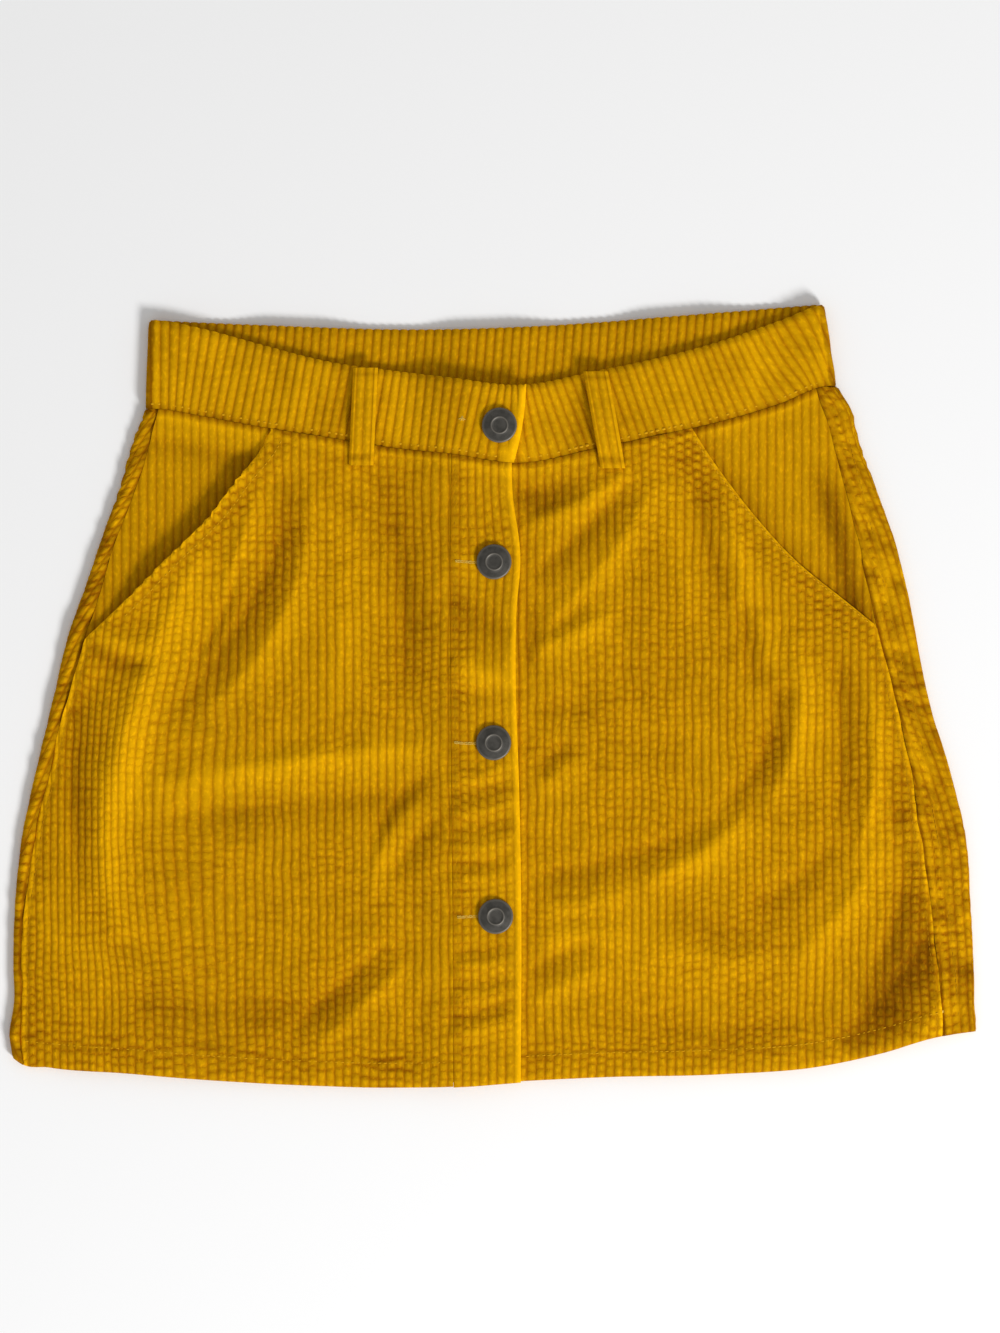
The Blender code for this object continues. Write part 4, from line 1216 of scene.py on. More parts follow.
facings = {}
for side, cut_line in FACINGS.items():
    slope = (cut_line.x_foot - cut_line.x_top) / (cut_line.y_foot - cut_line.y_top)

    def inner_edge(y, line=cut_line, slope=slope):
        return line.x_top + slope * (y - line.y_top)

    if side == "left":
        edges = (lambda y: seam_left(y) + SEAM_GAP, inner_edge)
    else:
        edges = (inner_edge, lambda y: seam_right(y) - SEAM_GAP)
    facing_panel = Panel(*edges, lambda x: front_seam(x) - SEAM_GAP,
                         lambda x, line=cut_line: line.y_foot + 0.0 * x, plumb, facing_level, CLOTH, 2.0)
    name = "pocket_facing_%s_cord" % side
    # Painted shade along the top edge, under the waist seam.
    facings[side] = lay_panel(name, facing_panel, roll=(0.3, 0.3, 0.1, 0.3),
                              painted_edges=(0.0, 0.0, -2.0, 0.0), beading=0.3, ribs=0.8, wander=0.3,
                              shade=facing_shade)
    settle(facings[side], corduroy, "corduroy", "pocket_facing_" + side)

# %% [markdown]
# ## The back
# The back is one cut that lies on the floor, turns up round both side folds and comes a finger's breadth
# onto the front. Its wales run straight down the flat cut, so past the slanted folds they lean the other
# way. Each column is a wale of the flat cut, bent round the fold by how far past it the wale lies.

# %% Back
BACK_CREASES = (
    Crease(-150, 80, -120, 40, -60, 20, 12, 0.9),
    Crease(140, 90, 110, 30, 60, 10, 12, 0.9),
    Crease(-160, -40, -90, -60, -20, -40, 11, 1.1),
    Crease(20, -60, 90, -90, 170, -60, 11, 1.1),
    Crease(-120, -120, -60, -140, 10, -130, 9, 1.0),
    Crease(40, -130, 100, -150, 150, -130, 9, 0.8),
    Crease(-40, 90, -20, 40, -30, -10, 10, 1.0),
    Crease(40, 80, 30, 40, 44, -20, 10, 0.8),
)
FOLD_ARC = math.pi * FOLD_TURN
FOLD_REACH = FOLD_TURN + CLOTH / 2


def back_hem(x):
    """The back's hem, a little higher than the fronts' and level with them at the folds."""
    return hem(x) + 1.6 * ease(np.minimum(x + 232, 233 - x) / 40)


def back_section(u, share):
    """Middle, way out and height of the outer face for each wale of the back's flat cut."""
    x = u.copy()
    for _ in range(10):
        over = back_seam(x) * (1 - share) + back_hem(x) * share - SEAM_GAP * (1 - share)
        around = front_seam(x) * (1 - share) + hem(x) * share - SEAM_GAP * (1 - share)
        run_left = fold_left(around) + FOLD_REACH
        run_right = fold_right(around) - FOLD_REACH
        past = np.where(u < 0, run_left - u, u - run_right)
        side = np.where(u < 0, -1.0, 1.0)
        run = np.where(u < 0, run_left, run_right)
        turned = np.clip(past / FOLD_ARC, 0, 1) * math.pi
        x_arc = run + side * FOLD_TURN * np.sin(turned)
        x = np.where(past <= 0, u, np.where(past < FOLD_ARC, x_arc, run - side * (past - FOLD_ARC)))
    y = np.where(past <= 0, over, around)
    ease_in = ease(-past / 12)
    z_flat = BACK_MID + lift(x, y) + np.clip(creased(BACK_CREASES, x, y), 0, None) * ease_in
    z_arc = BACK_MID + FOLD_TURN * (1 - np.cos(turned))
    z = np.where(past <= 0, z_flat, np.where(past < FOLD_ARC, z_arc, wrap_level(x, y)))
    out = np.dstack([side * np.sin(turned), 0 * z, -np.cos(turned)])
    return np.dstack([x, y, z]), out, past, run


def back_limits(seam, run_of, share_rows):
    """Where the flat cut ends, for each row: at the side seam, round the fold."""
    sign = -1.0 if run_of is fold_left else 1.0
    x = np.full(len(share_rows), sign * 190.0)
    for _ in range(30):
        y = front_seam(x) * (1 - share_rows) + hem(x) * share_rows - SEAM_GAP * (1 - share_rows)
        x = seam(y)
    run = run_of(y) - sign * FOLD_REACH
    return run + sign * (FOLD_ARC + np.abs(run - x))


print("the back turns", round(FOLD_ARC, 1), "mm of cloth round each fold")

# %% [markdown]
# ## The back's grid and wales
# The middle of the back is out of sight, so only every third column is kept there. On the two strips that
# show, the wales follow the fold, as cloth that has been pulled round does, more on the right than on
# the left. Two lines of stitches run down the right strip, beside the seam.

# %% The grid
BACK_LENGTH = 325.0
FINE_FROM = 184.0
USUAL_RUN = 205.0
FOLLOW_LEFT = 0.1
FOLLOW_RIGHT = 0.8


def inside_edges(grid, low, high, share, length):
    """Distance from each point of a grid to the nearest edge of its sheet."""
    across = np.minimum(grid.u - low[:, None], high[:, None] - grid.u)
    return np.minimum(across, np.minimum(share, 1 - share) * length)


steps = rows_down(BACK_LENGTH, 2.7)
low = back_limits(seam_left, fold_left, steps)
high = back_limits(seam_right, fold_right, steps)
columns = wale_columns(low.min(), high.max())
columns = columns[(np.abs(columns) > FINE_FROM) | (np.arange(len(columns)) % 3 == 0)]
grid = clamped(columns, low, high)
share = np.broadcast_to(steps[:, None], grid.u.shape)
middle, out, past, run = back_section(grid.u, share)
x, y = middle[..., 0], middle[..., 1]
follow = ease(past / FOLD_ARC)
follow = follow * np.where(grid.u < 0, FOLLOW_LEFT, FOLLOW_RIGHT)
wale_u = grid.u - (run - np.sign(grid.u) * USUAL_RUN) * follow
hem_stitch_back = path_across(lambda x: back_hem(x) + HEM_DEPTH, -222, 222)
wrap_stitches = (
    path_down(lambda y: seam_right(y) + 2.6, 146, -160),
    path_down(lambda y: seam_right(y) + 8.0, 140, -155),
)
stitch = near(away_from(hem_stitch_back, x, y), STITCH_WIDTH) * (past <= 0)
for path in wrap_stitches:
    stitch = np.maximum(stitch, near(away_from(path, x, y), STITCH_WIDTH) * (past > FOLD_ARC))
print(len(columns), "columns by", len(steps), "rows")

# %% [markdown]
# ## The back's surface
# Beside the side seam the wrapped strip is drawn down into the seam and puffs up next to it, and the
# stitching has quilted it. That relief counts only on top: underneath, the back is flat on the floor.

# %% The surface
PUFF = 3.2
on_top = ease((past - 0.2 * FOLD_ARC) / (0.6 * FOLD_ARC))
ribbing = 1 - 0.6 * stitch
depth = np.clip(0.7 + 0.45 * uneven(grid.u, y, 26, 15), 0.1, 1) + 0.2 * on_top
pinch = pinches(wale_u, y, 43)
from_seam = np.minimum(np.abs(x - seam_left(y)), np.abs(x - seam_right(y)))
seamside = np.where(past > FOLD_ARC, from_seam, 99.0)
middle[..., 2] -= 0.3 * stitch * on_top
middle[..., 2] += on_top * (0.35 * near(seamside - PUFF, 2.2) + 0.55 * uneven(x, y, 5, 64))
outer = CLOTH / 2 + PROUD * on_top + RIB * ribbing * (profile(wale_u) - 1) - 0.3 * pinch
outer = outer - 0.2 * CLOTH * rounded(inside_edges(grid, low, high, share, BACK_LENGTH), ROLL_REACH)
# Painted light on the puff beside the side seam and painted shade in the seam and in the pinches, with random
# mottle on the top strip.
painted_seam_light_and_mottle = 0.5 * near(seamside - PUFF, 2.0) - 1.2 * near(seamside, 1.4)
painted_seam_light_and_mottle = painted_seam_light_and_mottle + (1.1 * uneven(wale_u, y, 6, 63) - 0.3) * on_top
facts = {"ribbing": ribbing, "painted_light_and_mottle": -0.7 * pinch + painted_seam_light_and_mottle * on_top, "beat": beads(wale_u, y, 61),
         "beading": depth + 0.8 * near(seamside - 4.5, 3.0)}
back = shell("back_cord", grid._replace(u=wale_u), middle, out, outer, CLOTH / 2, y, facts)
settle(back, corduroy, "corduroy", "back")
built["back_cord"] = sheet_area(grid, middle)

# %% [markdown]
# ## The waistband
# One doubled strip runs from the lap's end over both side folds to the underlap's end. Its wales stand
# square to its edge, so they fan where the front dips, and both of its faces are corduroy, as the far
# side shows over the front's edge.

# %% Waistband
BAND_ARC = math.pi * BAND_TURN
BAND_REACH = BAND_TURN + BAND / 2
BAND_FOLDS = {"left": (-166.8, -168.4), "right": (161.6, 167.4)}
BAND_HEIGHT = 41.0


def band_slope(x):
    """How steeply the waist seam runs at x."""
    return (front_seam(x + 2.0) - front_seam(x - 2.0)) / 4.0


def band_runs(share):
    """Where the flat part of the band ends at each side, on each row."""
    left = BAND_FOLDS["left"][0] * (1 - share) + BAND_FOLDS["left"][1] * share + BAND_REACH
    right = BAND_FOLDS["right"][0] * (1 - share) + BAND_FOLDS["right"][1] * share - BAND_REACH
    return left, right


def band_section(s, share):
    """Middle and way out along the strip; s runs from the lap's end, past the left fold, round."""
    left, right = band_runs(share)
    lap = s < -left
    x_lap = -s
    past_left = s + left
    along_back = past_left - BAND_ARC
    x_back = left + along_back
    past_right = x_back - right
    x_under = right - (past_right - BAND_ARC)
    upright = ease((right - x_under) / 45)
    x_under = x_under - 2 * (right - right.mean()) * upright
    turned_left = np.clip(past_left / BAND_ARC, 0, 1) * math.pi
    turned_right = np.clip(past_right / BAND_ARC, 0, 1) * math.pi
    on_left = (past_left >= 0) & (past_left < BAND_ARC)
    on_right = (past_right >= 0) & (past_right < BAND_ARC)
    under = past_right >= BAND_ARC
    front = lap | under
    parts = [lap, on_left, ~front & ~on_left & ~on_right, on_right]
    x_left = left - BAND_TURN * np.sin(turned_left)
    x_right = right + BAND_TURN * np.sin(turned_right)
    x = np.select(parts, [x_lap, x_left, x_back, x_right], x_under)
    fan = (share - 0.5) * BAND_HEIGHT * band_slope(x) * front
    x = x + fan * ease(np.minimum(x - left, right - x) / 30)
    y_front = front_top(x) * (1 - share) + front_seam(x) * share
    y_back = back_top(x) * (1 - share) + back_seam(x) * share
    y = np.where(front | on_left | on_right, y_front, y_back)
    z = np.select(parts, [
        band_front_level(x, y, True),
        BAND_BACK_MID + BAND_TURN * (1 + np.cos(turned_left)),
        BAND_BACK_MID + lift(x, y),
        BAND_BACK_MID + BAND_TURN * (1 - np.cos(turned_right))], band_front_level(x, y, False))
    out_x = np.select([on_left, on_right], [-np.sin(turned_left), np.sin(turned_right)], 0.0)
    out_z = np.select(parts, [
        1.0 + 0 * x, np.cos(turned_left), -1.0 + 0 * x, -np.cos(turned_right)], 1.0)
    return np.dstack([x, y, z]), np.dstack([out_x, 0 * out_x, out_z]), front


print("the band turns", round(BAND_ARC, 1), "mm of cloth round each fold")

# %% [markdown]
# ## The waistband's wear and surface
# Its own creases run across it, where it has been folded by sitting. The lap's end is a smooth roll with a
# painted highlight, the edge above is scalloped where the wales turn over it, and the stitching at its foot
# draws a groove, painted darker. The far side lies inside the skirt and is painted darker than the front as
# shade, most of all near the folds.

# %% Waistband surface
BAND_CREASES = (
    Crease(-104, 172, -106, 155, -110, 132, 7, -0.9),
    Crease(-92, 168, -94, 150, -98, 128, 6, 0.8),
    Crease(-75, 166, -74, 150, -70, 122, 5, -0.8),
    Crease(38, 158, 40, 140, 44, 118, 6, -1.1),
    Crease(82, 166, 80, 150, 78, 124, 9, -0.8),
    Crease(122, 178, 126, 160, 128, 140, 7, 0.9),
    Crease(140, 186, 142, 170, 140, 146, 7, -0.8),
    Crease(156, 190, 160, 172, 160, 150, 7, 0.9),
    Crease(-150, 182, -152, 160, -154, 140, 9, 0.7),
)
# The band's creases also paint light on their ridges and shade in their troughs.
PAINTED_SHADE_CREASES["waistband_cord"] = BAND_CREASES
STITCH_UP = 2.4
BAND_ROLL = 1.6
BAND_RIB = 1.4 * RIB
band_steps = rows_down(BAND_HEIGHT, 3.0)
lap_end = BAND_LAP_TOP_X * (1 - band_steps) + BAND_LAP_FOOT_X * band_steps
left_run, right_run = band_runs(band_steps)
low = -lap_end
high = -left_run + 2 * BAND_ARC + (right_run - left_run) + (right_run - BAND_UNDERLAP_END)
grid = clamped(wale_columns(low.min(), high.max()), low, high)
share = np.broadcast_to(band_steps[:, None], grid.u.shape)
middle, out, front = band_section(grid.u, share)
x, y = middle[..., 0], middle[..., 1]
middle[..., 2] += np.where(front, 0.8 * creased(BAND_CREASES, x, y), 0.0)
middle[..., 1] += 0.45 * (profile(grid.u) - 0.7) * rounded(share * BAND_HEIGHT, 3.0)
inside = inside_edges(grid, low, high, share, BAND_HEIGHT)
from_seam = (1 - share) * BAND_HEIGHT
stitch = near(from_seam - STITCH_UP, 1.1)
from_lap = grid.u - low[:, None]
lap_fold = ease((from_lap - 3.0) / 2.5)
middle[..., 2] += 0.6 * (1 - ease((from_lap - 1.0) / 6))
ribbing = (1 - 0.6 * stitch) * lap_fold
rolled = np.maximum(rounded(inside, BAND_ROLL) * (from_seam > BAND_ROLL), 0.3 * rounded(from_seam, BAND_ROLL))
outer = BAND / 2 + BAND_RIB * ribbing * (profile(grid.u) - 1) - 0.4 * stitch - 0.4 * BAND * rolled
inner = BAND / 2 + BAND_RIB * (profile(grid.u) - 1) - 0.3 * BAND * rounded(inside, BAND_ROLL)
to_fold = np.minimum(x - fold_left(y), fold_right(y) - x)
mottle = 0.5 * uneven(x, y, 22, 66) + 0.35 * uneven(x, y, 9, 67)
# Painted light and shade: the front lighter than the far side, the far side darkest near the folds, crease
# shade, a painted highlight on the lap's end, and painted shade along the stitches and the seam. The mottle
# is random.
painted_light_and_mottle = np.where(front, 0.5 + mottle + painted_crease_shade("waistband_cord", x, y), -0.05 - 1.0 * np.exp(-to_fold / 30))
painted_light_and_mottle = painted_light_and_mottle + 2.4 * np.exp(-((from_lap / 4.2) ** 4)) - 0.6 * stitch - 1.8 * near(from_seam, 1.4)
facts = {"ribbing": ribbing, "painted_light_and_mottle": painted_light_and_mottle, "beat": beads(grid.u, y, 71), "beading": 0.35 + 0 * x}
waistband = shell("waistband_cord", grid, middle, out, outer, inner, y, facts, both=True)
settle(waistband, corduroy, "corduroy", "waistband")
built["waistband_cord"] = sheet_area(grid, middle)
print("waistband", len(waistband.data.polygons), "faces, area", round(built["waistband_cord"], 4))

# %% [markdown]
# ## Belt loops
# Each loop is a narrow strip folded on itself, two wales wide with a smooth rolled edge at each side. The
# front pair bows a little off the band, and the back three are pressed flat under the skirt.

# %% Loops
FrontLoop = namedtuple("FrontLoop", "x_top x_foot reach bow")
FRONT_LOOPS = {
    "left": FrontLoop(-61.2, -63.4, 11.0, 1.4),
    "right": FrontLoop(50.2, 58.6, 11.4, 2.6),
}
LOOP_RIB = 0.34
BAR_TACK = 0.07


def strip(name, centre_line, width, thick, up):
    """A narrow two-wale strip along a centre line of (x, y, z) rows."""
    across = np.linspace(-0.5, 0.5, 25) * width
    line = np.array(centre_line)
    rows = len(line)
    down = np.linspace(0, 1, rows)
    grid = Grid(np.tile(across, (rows, 1)), np.zeros(rows, int), np.full(rows, len(across) - 1))
    middle = np.tile(line[:, None, :], (1, len(across), 1))
    middle[..., 0] += across
    from_side = width / 2 - np.abs(across)
    ribs = 0.5 - 0.5 * np.cos(2 * math.pi * across / WALE)
    ribs = np.where(np.abs(across) < WALE * 0.98, ribs, 0.75)
    outer = thick / 2 + LOOP_RIB * (ribs - 1) - 0.6 * thick * rounded(from_side, 1.3)
    outer = np.tile(outer, (rows, 1))
    outer[[0, -1]] -= 0.3
    flat = 0 * middle[..., 0]
    bar = np.minimum(np.abs(down - BAR_TACK), np.abs(down - 1 + BAR_TACK))[:, None] < 0.03
    # Painted lighter overall, with a painted highlight along the rolled sides, and darker across each bar
    # tack.
    facts = {"ribbing": flat + 0.8 * (np.abs(across) < WALE),
             "painted_light_and_mottle": flat + 0.4 + 0.5 * rounded(from_side, 2.6) - 1.0 * bar,
             "beat": middle[..., 1] / BEAD, "beading": flat + 0.4}
    built[name] = sheet_area(grid, middle)
    return shell(name, grid, middle, (0, 0, up), outer, thick / 2, middle[..., 1], facts)


loops = {}
for side, loop in FRONT_LOOPS.items():
    y_top = float(front_top(loop.x_top)) - 0.4
    y_foot = float(front_seam(loop.x_foot)) - loop.reach
    line = []
    for s in np.linspace(0, 1, 31):
        x = loop.x_top + (loop.x_foot - loop.x_top) * s
        y = y_top + (y_foot - y_top) * s
        beside = x + LOOP_WIDTH / 2 * np.array([-1.0, 0.0, 1.0])
        on_band = float(band_front_level(beside, y, False).max()) + BAND / 2
        level = front_left_level if side == "left" else front_right_level
        on_front = float(level(beside, np.full(3, y)).max()) + CLOTH / 2
        z = max(on_band + (on_front - on_band) * s, on_front if s > 0.8 else 0) + LAYER_GAP + LOOP / 2
        line.append((x, y, z + 0.3 + loop.bow * math.sin(math.pi * s)))
    loops["front_" + side] = strip("belt_loop_front_%s_cord" % side, line, LOOP_WIDTH, LOOP, 1)
for side, centre in BACK_LOOPS.items():
    y_foot = float(back_seam(centre)) - LOOP_REACH
    line = [(centre, y, LOOP / 2) for y in np.linspace(float(back_top(centre)) - 0.6, y_foot, 25)]
    loops["back_" + side] = strip("belt_loop_back_%s_cord" % side, line, LOOP_WIDTH, LOOP, -1)
for side, piece in loops.items():
    settle(piece, corduroy, "corduroy", "belt_loop_" + side)
print("loops", list(loops))

# %% [markdown]
# ## The thread
# A stitch is a short rounded rod with its ends dipping into the cloth. One mesh holds a whole line of
# them. Each is laid along a path at an even pitch, at the height of the cloth under it.

# %% Stitch maker
ROD_SIDES = 6
RodRing = namedtuple("RodRing", "along fat rise")
HALF_ROD = (RodRing(-0.5, 0.35, -0.5), RodRing(-0.42, 0.8, -0.1), RodRing(-0.2, 1.0, 0.25))
ROD = HALF_ROD + tuple(ring._replace(along=-ring.along) for ring in HALF_ROD[::-1])


def even_points(path, pitch):
    """Places and directions at an even pitch along a path."""
    path = np.array(path, float)
    legs = np.hypot(*np.diff(path, axis=0).T)
    run = np.concatenate([[0], np.cumsum(legs)])
    places = np.arange(pitch / 2, run[-1], pitch)
    x = np.interp(places, run, path[:, 0])
    y = np.interp(places, run, path[:, 1])
    ahead = np.minimum(places + 0.5, run[-1])
    dx = np.interp(ahead, run, path[:, 0]) - np.interp(ahead - 1, run, path[:, 0])
    dy = np.interp(ahead, run, path[:, 1]) - np.interp(ahead - 1, run, path[:, 1])
    size = np.hypot(dx, dy)
    return x, y, dx / size, dy / size


def thread_mesh(name, rods, finish):
    """One mesh of many rods: rows of (x, y, z, direction x, direction y, length, radius)."""
    rods = np.array(rods, float)
    angles = np.arange(ROD_SIDES) * 2 * math.pi / ROD_SIDES
    ring_count = len(ROD)
    points = []
    for place, fat, rise in ROD:
        along = rods[:, 5] * place
        for angle in angles:
            side = rods[:, 6] * fat * math.cos(angle)
            up = rods[:, 6] * (fat * math.sin(angle) + rise)
            points.append(np.stack([rods[:, 0] + rods[:, 3] * along - rods[:, 4] * side,
                                    rods[:, 1] + rods[:, 4] * along + rods[:, 3] * side,
                                    rods[:, 2] + up], -1))
    points = np.stack(points, 1).reshape(-1, 3)
    one = []
    for ring in range(ring_count - 1):
        for k in range(ROD_SIDES):
            a = ring * ROD_SIDES
            n = (k + 1) % ROD_SIDES
            one.append((a + k, a + n, a + n + ROD_SIDES, a + k + ROD_SIDES))
    caps = [tuple(range(ROD_SIDES))[::-1], tuple((ring_count - 1) * ROD_SIDES + k for k in range(ROD_SIDES))]
    each = ring_count * ROD_SIDES
    faces = [tuple(k + i * each for k in face) for i in range(len(rods)) for face in one + caps]
    print(name, len(rods), "stitches")
    return settle(solid(name, points, faces), finish, "corduroy")


def run_stitches(path, level, pitch=2.5, length=1.9, radius=0.28):
    """Rods along a path, at the height of a level's outer face."""
    x, y, dx, dy = even_points(path, pitch)
    z = level(x, y)
    return np.stack([x, y, z, dx, dy, np.full(len(x), length), np.full(len(x), radius)], -1).tolist()


# %% [markdown]
# ## Where the thread goes
# Along the band above the waist seam, round the pocket mouths, down the placket and the side seams, and
# round the hem.

# %% Stitches
SUNK = 0.12
BOLD = {"pitch": 2.9, "length": 2.5, "radius": 0.8}
FINE = {"pitch": 2.6, "length": 1.9, "radius": 0.16}


def on(level, thick, wander=1.0):
    """Where the underside of a thread lies on a panel."""
    def height(x, y):
        return level(x, y) + wander * (slack(x, y) + crumple(x, y)) - STITCH_PULL + thick / 2 + PROUD - SUNK
    return height


def on_band(lapped):
    """Where a thread lies in the groove at the band's foot."""
    return lambda x, y: band_front_level(x, y, lapped) + BAND / 2 - 1.10


waist_front = [(x, float(front_seam(x)) + STITCH_UP) for x in np.linspace(-166, 10.5, 40)]
waist_under = [(x, float(front_seam(x)) + STITCH_UP) for x in np.linspace(13.5, 163.5, 40)]
rods = run_stitches(waist_front, on_band(True), **BOLD)
rods += run_stitches(waist_under, on_band(False), **BOLD)
waist_thread = thread_mesh("waist_stitching", rods, golden_thread)

rods = run_stitches(mouth_stitch_left, on(front_left_level, CLOTH))
rods += run_stitches(mouth_stitch_right, on(front_right_level, CLOTH))
pocket_thread = thread_mesh("pocket_stitching", rods, golden_thread)

rods = run_stitches(hem_stitch_left, on(front_left_level, CLOTH), 2.6, 2.0)
rods += run_stitches(hem_stitch_right, on(front_right_level, CLOTH), 2.6, 2.0)
hem_thread = thread_mesh("hem_stitching", rods, golden_thread)

rods = run_stitches(side_stitch_left, on(front_left_level, CLOTH), **FINE)
rods += run_stitches(side_stitch_right, on(front_right_level, CLOTH), **FINE)
for path in wrap_stitches:
    rods += run_stitches(path, on(wrap_level, CLOTH, 0.0), **FINE)
side_thread = thread_mesh("side_stitching", rods, toned_thread)

rods = run_stitches(placket_stitch, on(placket_level, PLACKET, 0.5), 2.6, 1.7, 0.14)
placket_thread = thread_mesh("placket_stitching", rods, toned_thread)

# %% [markdown]
# ## Buttonholes
# A buttonhole is a slit bound with close stitches square to it. Only its end shows, left of each button,
# in paler thread.

# %% Buttonholes and the thread bar
Button = namedtuple("Button", "x y hole_length")
BUTTONS = (
    Button(3.6, 131.0, 18.5),
    Button(1.0, 65.0, 18.5),
    Button(0.8, -22.6, 18.8),
    Button(1.8, -106.7, 18.4),
)
BUTTON_RADIUS = 8.5
BIND_PITCH = 0.42
TUFT = (-15.0, 134.3)
rods = []
for number, button in enumerate(BUTTONS[1:]):
    for x in np.arange(button.x - button.hole_length, button.x - 4, BIND_PITCH):
        for side in (-1, 1):
            stray = float(uneven(x * 9, side * 50 + number * 90, 3, 31))
            y = button.y + 1.2 * math.sin(x * 0.25 + number) * 0.3 + side * (0.34 + 0.2 * stray)
            worn = 0.5 * float(slack(x, y) + crumple(x, y))
            z = float(placket_level(x, y)) + worn + PLACKET / 2 + 0.05
            rods.append((x, y, z, 0.35 * side + 0.3 * stray, 0.9, 0.7, 0.16))
for turn in (0.2, 1.1, 1.9, 2.6):
    z = float(band_front_level(*TUFT, True)) + BAND / 2 + 0.05
    rods.append((TUFT[0] + 0.4 * turn, TUFT[1], z, math.cos(turn), math.sin(turn), 2.6, 0.18))
hole_thread = thread_mesh("buttonhole_stitching", rods, pale_thread)
BAR_X, BAR_Y = 216.6, -153.6
z = float(wrap_level(BAR_X, BAR_Y)) + CLOTH / 2 + 0.2
rods = [(BAR_X, BAR_Y + dy, z, 0.97, 0.24, 5.2, 0.3) for dy in (-0.35, 0.0, 0.35)]
bar_thread = thread_mesh("side_seam_bar", rods, pale_thread)

# %% [markdown]
# ## Tack buttons
# Each is a stamped cap crimped over a shank, riveted through the underlap. A lathe profile turns into the
# cap: a rolled rim, a shallow dome and a thin raised ring round the middle.

# %% Buttons
SHANK_RADIUS = 1.5
TACK_RADIUS = 4.5
TACK_THICKNESS = 0.7
CAP_GAP = 0.4
TURNS = 72
CRIMP_EDGE = 50
Ring = namedtuple("Ring", "radius height worn")
ROLLED_RIM = ((7.6, 0.00, 0.0), (8.15, 0.12, 0.1), (8.42, 0.40, 0.4), (8.5, 0.75, 0.8), (8.42, 1.10, 1.0),
              (8.2, 1.38, 0.9), (7.9, 1.52, 0.5), (7.55, 1.54, 0.2))
DOME = ((7.2, 1.58, 0.0), (6.4, 1.74, 0.0), (5.4, 1.90, 0.0), (4.45, 2.00, 0.0))
RAISED_RING = ((4.15, 2.22, 0.8), (3.95, 2.28, 1.0), (3.75, 2.22, 0.8), (3.5, 1.96, 0.1))
MIDDLE = ((2.6, 1.93, 0.0), (1.3, 1.98, 0.0))
CAP = [Ring(*row) for row in ROLLED_RIM + DOME + RAISED_RING + MIDDLE]


def button_levels(number, button):
    """Underside of the lower cloth that a button joins, and top of the upper one."""
    around = [(button.x + BUTTON_RADIUS * math.cos(a), button.y + BUTTON_RADIUS * math.sin(a))
              for a in np.linspace(0, 2 * math.pi, 16)]
    around.append((button.x, button.y))
    if number == 1:
        lower = float(band_front_level(button.x, button.y, False)) - BAND / 2
        return lower, max(float(band_front_level(x, y, True)) for x, y in around) + BAND / 2
    lower = min(float(front_right_level(x, y)) for x, y in around) - CLOTH / 2
    tops = sorted(float(placket_level(x, y)) for x, y in around)
    return lower, tops[-5] + PLACKET / 2


def lathe(name, rings, x, y):
    """A turned piece from (radius, height, worn) rings, closed at both ends."""
    angles = np.arange(TURNS) * 2 * math.pi / TURNS
    points = [(x, y, rings[0][1])]
    worn = [0.0]
    for radius, height, wear in rings:
        points += [(x + radius * math.cos(a), y + radius * math.sin(a), height) for a in angles]
        worn += [wear] * TURNS
    points.append((x, y, rings[-1][1]))
    worn.append(0.0)
    last = len(points) - 1
    faces = []
    for k in range(TURNS):
        n = (k + 1) % TURNS
        faces.append((0, 1 + n, 1 + k))
        for ring in range(len(rings) - 1):
            a = 1 + ring * TURNS
            faces.append((a + k, a + n, a + n + TURNS, a + k + TURNS))
        a = 1 + (len(rings) - 1) * TURNS
        faces.append((a + k, a + n, last))
    piece = solid(name, points, faces, CRIMP_EDGE)
    give(piece.data, "worn", worn)
    return piece


for number, button in enumerate(BUTTONS, start=1):
    under, top = button_levels(number, button)
    tack = under - LAYER_GAP
    cap = top + CAP_GAP
    rings = [(TACK_RADIUS, tack - TACK_THICKNESS, 0.2), (TACK_RADIUS, tack, 0.2), (SHANK_RADIUS, tack, 0.0),
             (SHANK_RADIUS, cap, 0.0)]
    rings += [(ring.radius, cap + ring.height, ring.worn * 0.8) for ring in CAP]
    settle(lathe("tack_button_%d" % number, rings, button.x, button.y), gunmetal, "button_metal",
           "button_%d" % number)
    print("button", number, "cap at", round(cap, 2), "mm")

# %% [markdown]
# ## What each sheet was cut to
# Cloth hardly stretches, so the area of each sheet as laid is the area it was cut to. The sizes printed
# here are the cuts of what shows, in metres.

# %% Sheets
for side, piece in facings.items():
    round(built["pocket_facing_%s_cord" % side], 4)
for side, piece in loops.items():
    round(built["belt_loop_%s_cord" % side], 6)
print({name: round(area, 4) for name, area in built.items()})

# %% [markdown]
# ## Floor
# The skirt lies on a plain floor, nearly white, a hair below its underside so that the two don't flicker.

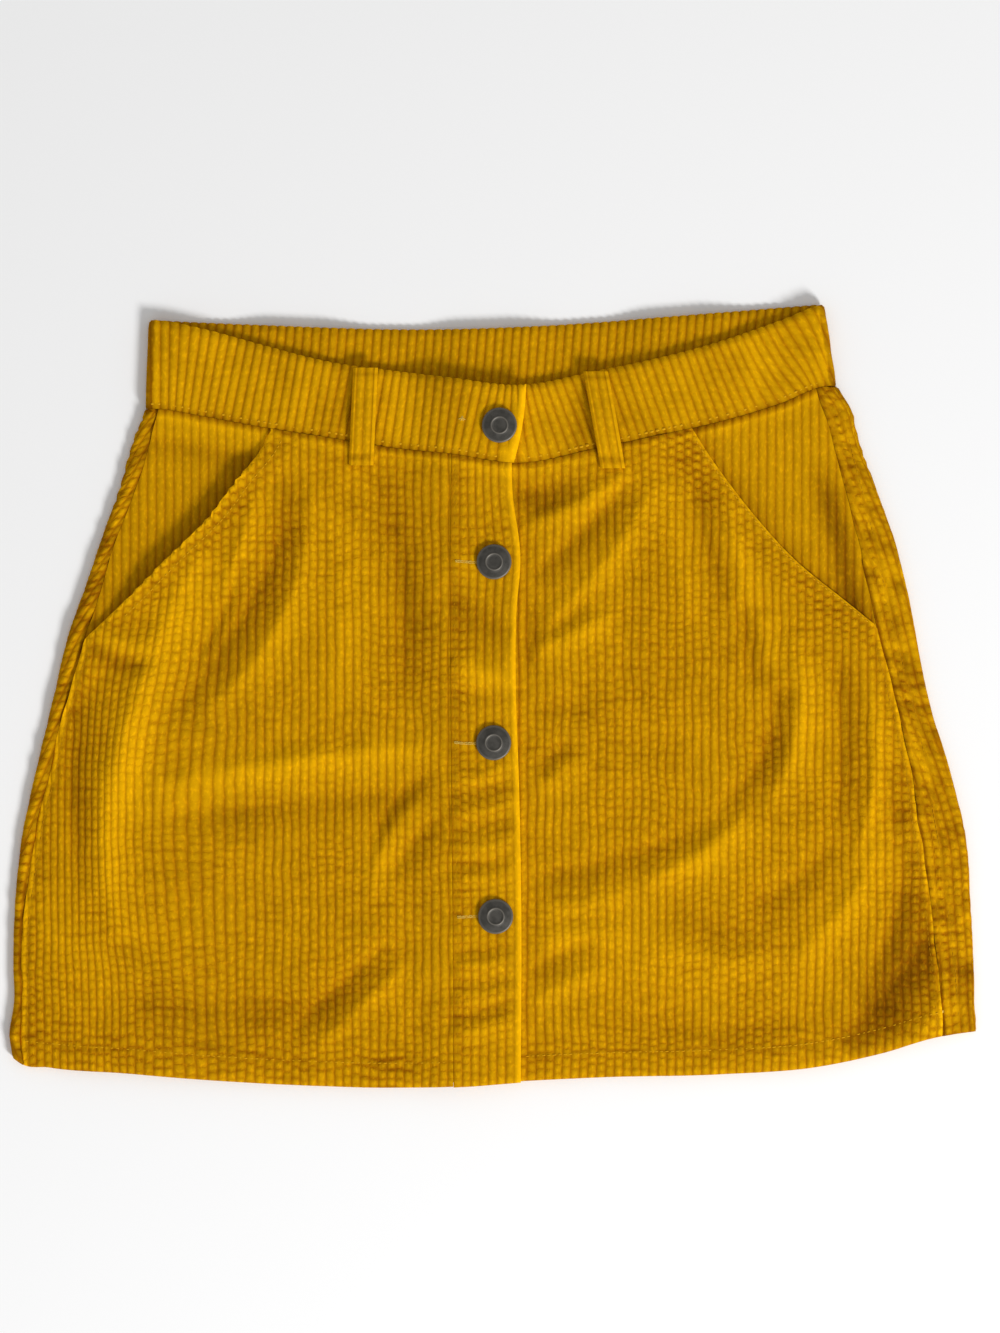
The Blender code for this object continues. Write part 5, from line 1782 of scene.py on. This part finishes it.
# %% Floor
bpy.ops.mesh.primitive_plane_add(size=6.0, location=(0, 0, -0.0002))
floor = bpy.context.object
floor.name = "floor"
floor_finish, floor_shader, _ = new_finish("pale_floor")
plug(floor_shader, {"Base Color": (0.95, 0.95, 0.95, 1), "Roughness": 0.9})
floor.data.materials.append(floor_finish)

# %% [markdown]
# ## Light
# One broad lamp stands low at the lower right, so that wales and creases cast soft shadows up and to the
# left. A pale sky fills them. A second lamp would fill them too, but it would flatten the wales.

# %% Lights
def lamp(name, place, target, size, watts):
    """A round soft lamp that looks at its target."""
    light = bpy.data.lights.new(name, "AREA")
    light.shape = "DISK"
    light.size = size
    light.energy = watts
    holder = bpy.data.objects.new(name, light)
    holder.location = place
    ahead = np.array(target) - np.array(place)
    ahead = ahead / np.linalg.norm(ahead)
    holder.rotation_euler = (math.acos(-ahead[2]), 0, math.atan2(ahead[0], -ahead[1]) + math.pi)
    bpy.context.scene.collection.objects.link(holder)
    return holder


lamp("window", (1.72, -2.05, 1.74), (0, 0, 0), 0.9, 95.0)
world = bpy.data.worlds.new("pale_sky")
world.use_nodes = True
world.node_tree.nodes["Background"].inputs["Color"].default_value = (1, 1, 1, 1)
world.node_tree.nodes["Background"].inputs["Strength"].default_value = 0.48
bpy.context.scene.world = world
bpy.context.scene.view_settings.view_transform = "Standard"
print("sky strength", world.node_tree.nodes["Background"].inputs["Strength"].default_value)

# %% [markdown]
# ## Camera
# It looks straight down from well above, with a long lens. A nearer camera would show the buttons and the
# upper cloth shifted outwards from what lies under them.

# %% Camera
VIEW_HEIGHT = 0.6465
VIEW_CENTRE = (0.0039, 0.0143)
CLOTH_TOP = 0.006
EYE = 2.4
SENSOR = 36.0
camera = bpy.data.cameras.new("overhead")
camera.sensor_width = SENSOR
camera.lens = SENSOR * EYE / VIEW_HEIGHT
camera.clip_end = 20
holder = bpy.data.objects.new("overhead", camera)
holder.location = (*VIEW_CENTRE, EYE + CLOTH_TOP)
bpy.context.scene.collection.objects.link(holder)
bpy.context.scene.camera = holder
print("lens", round(camera.lens, 1), "mm")
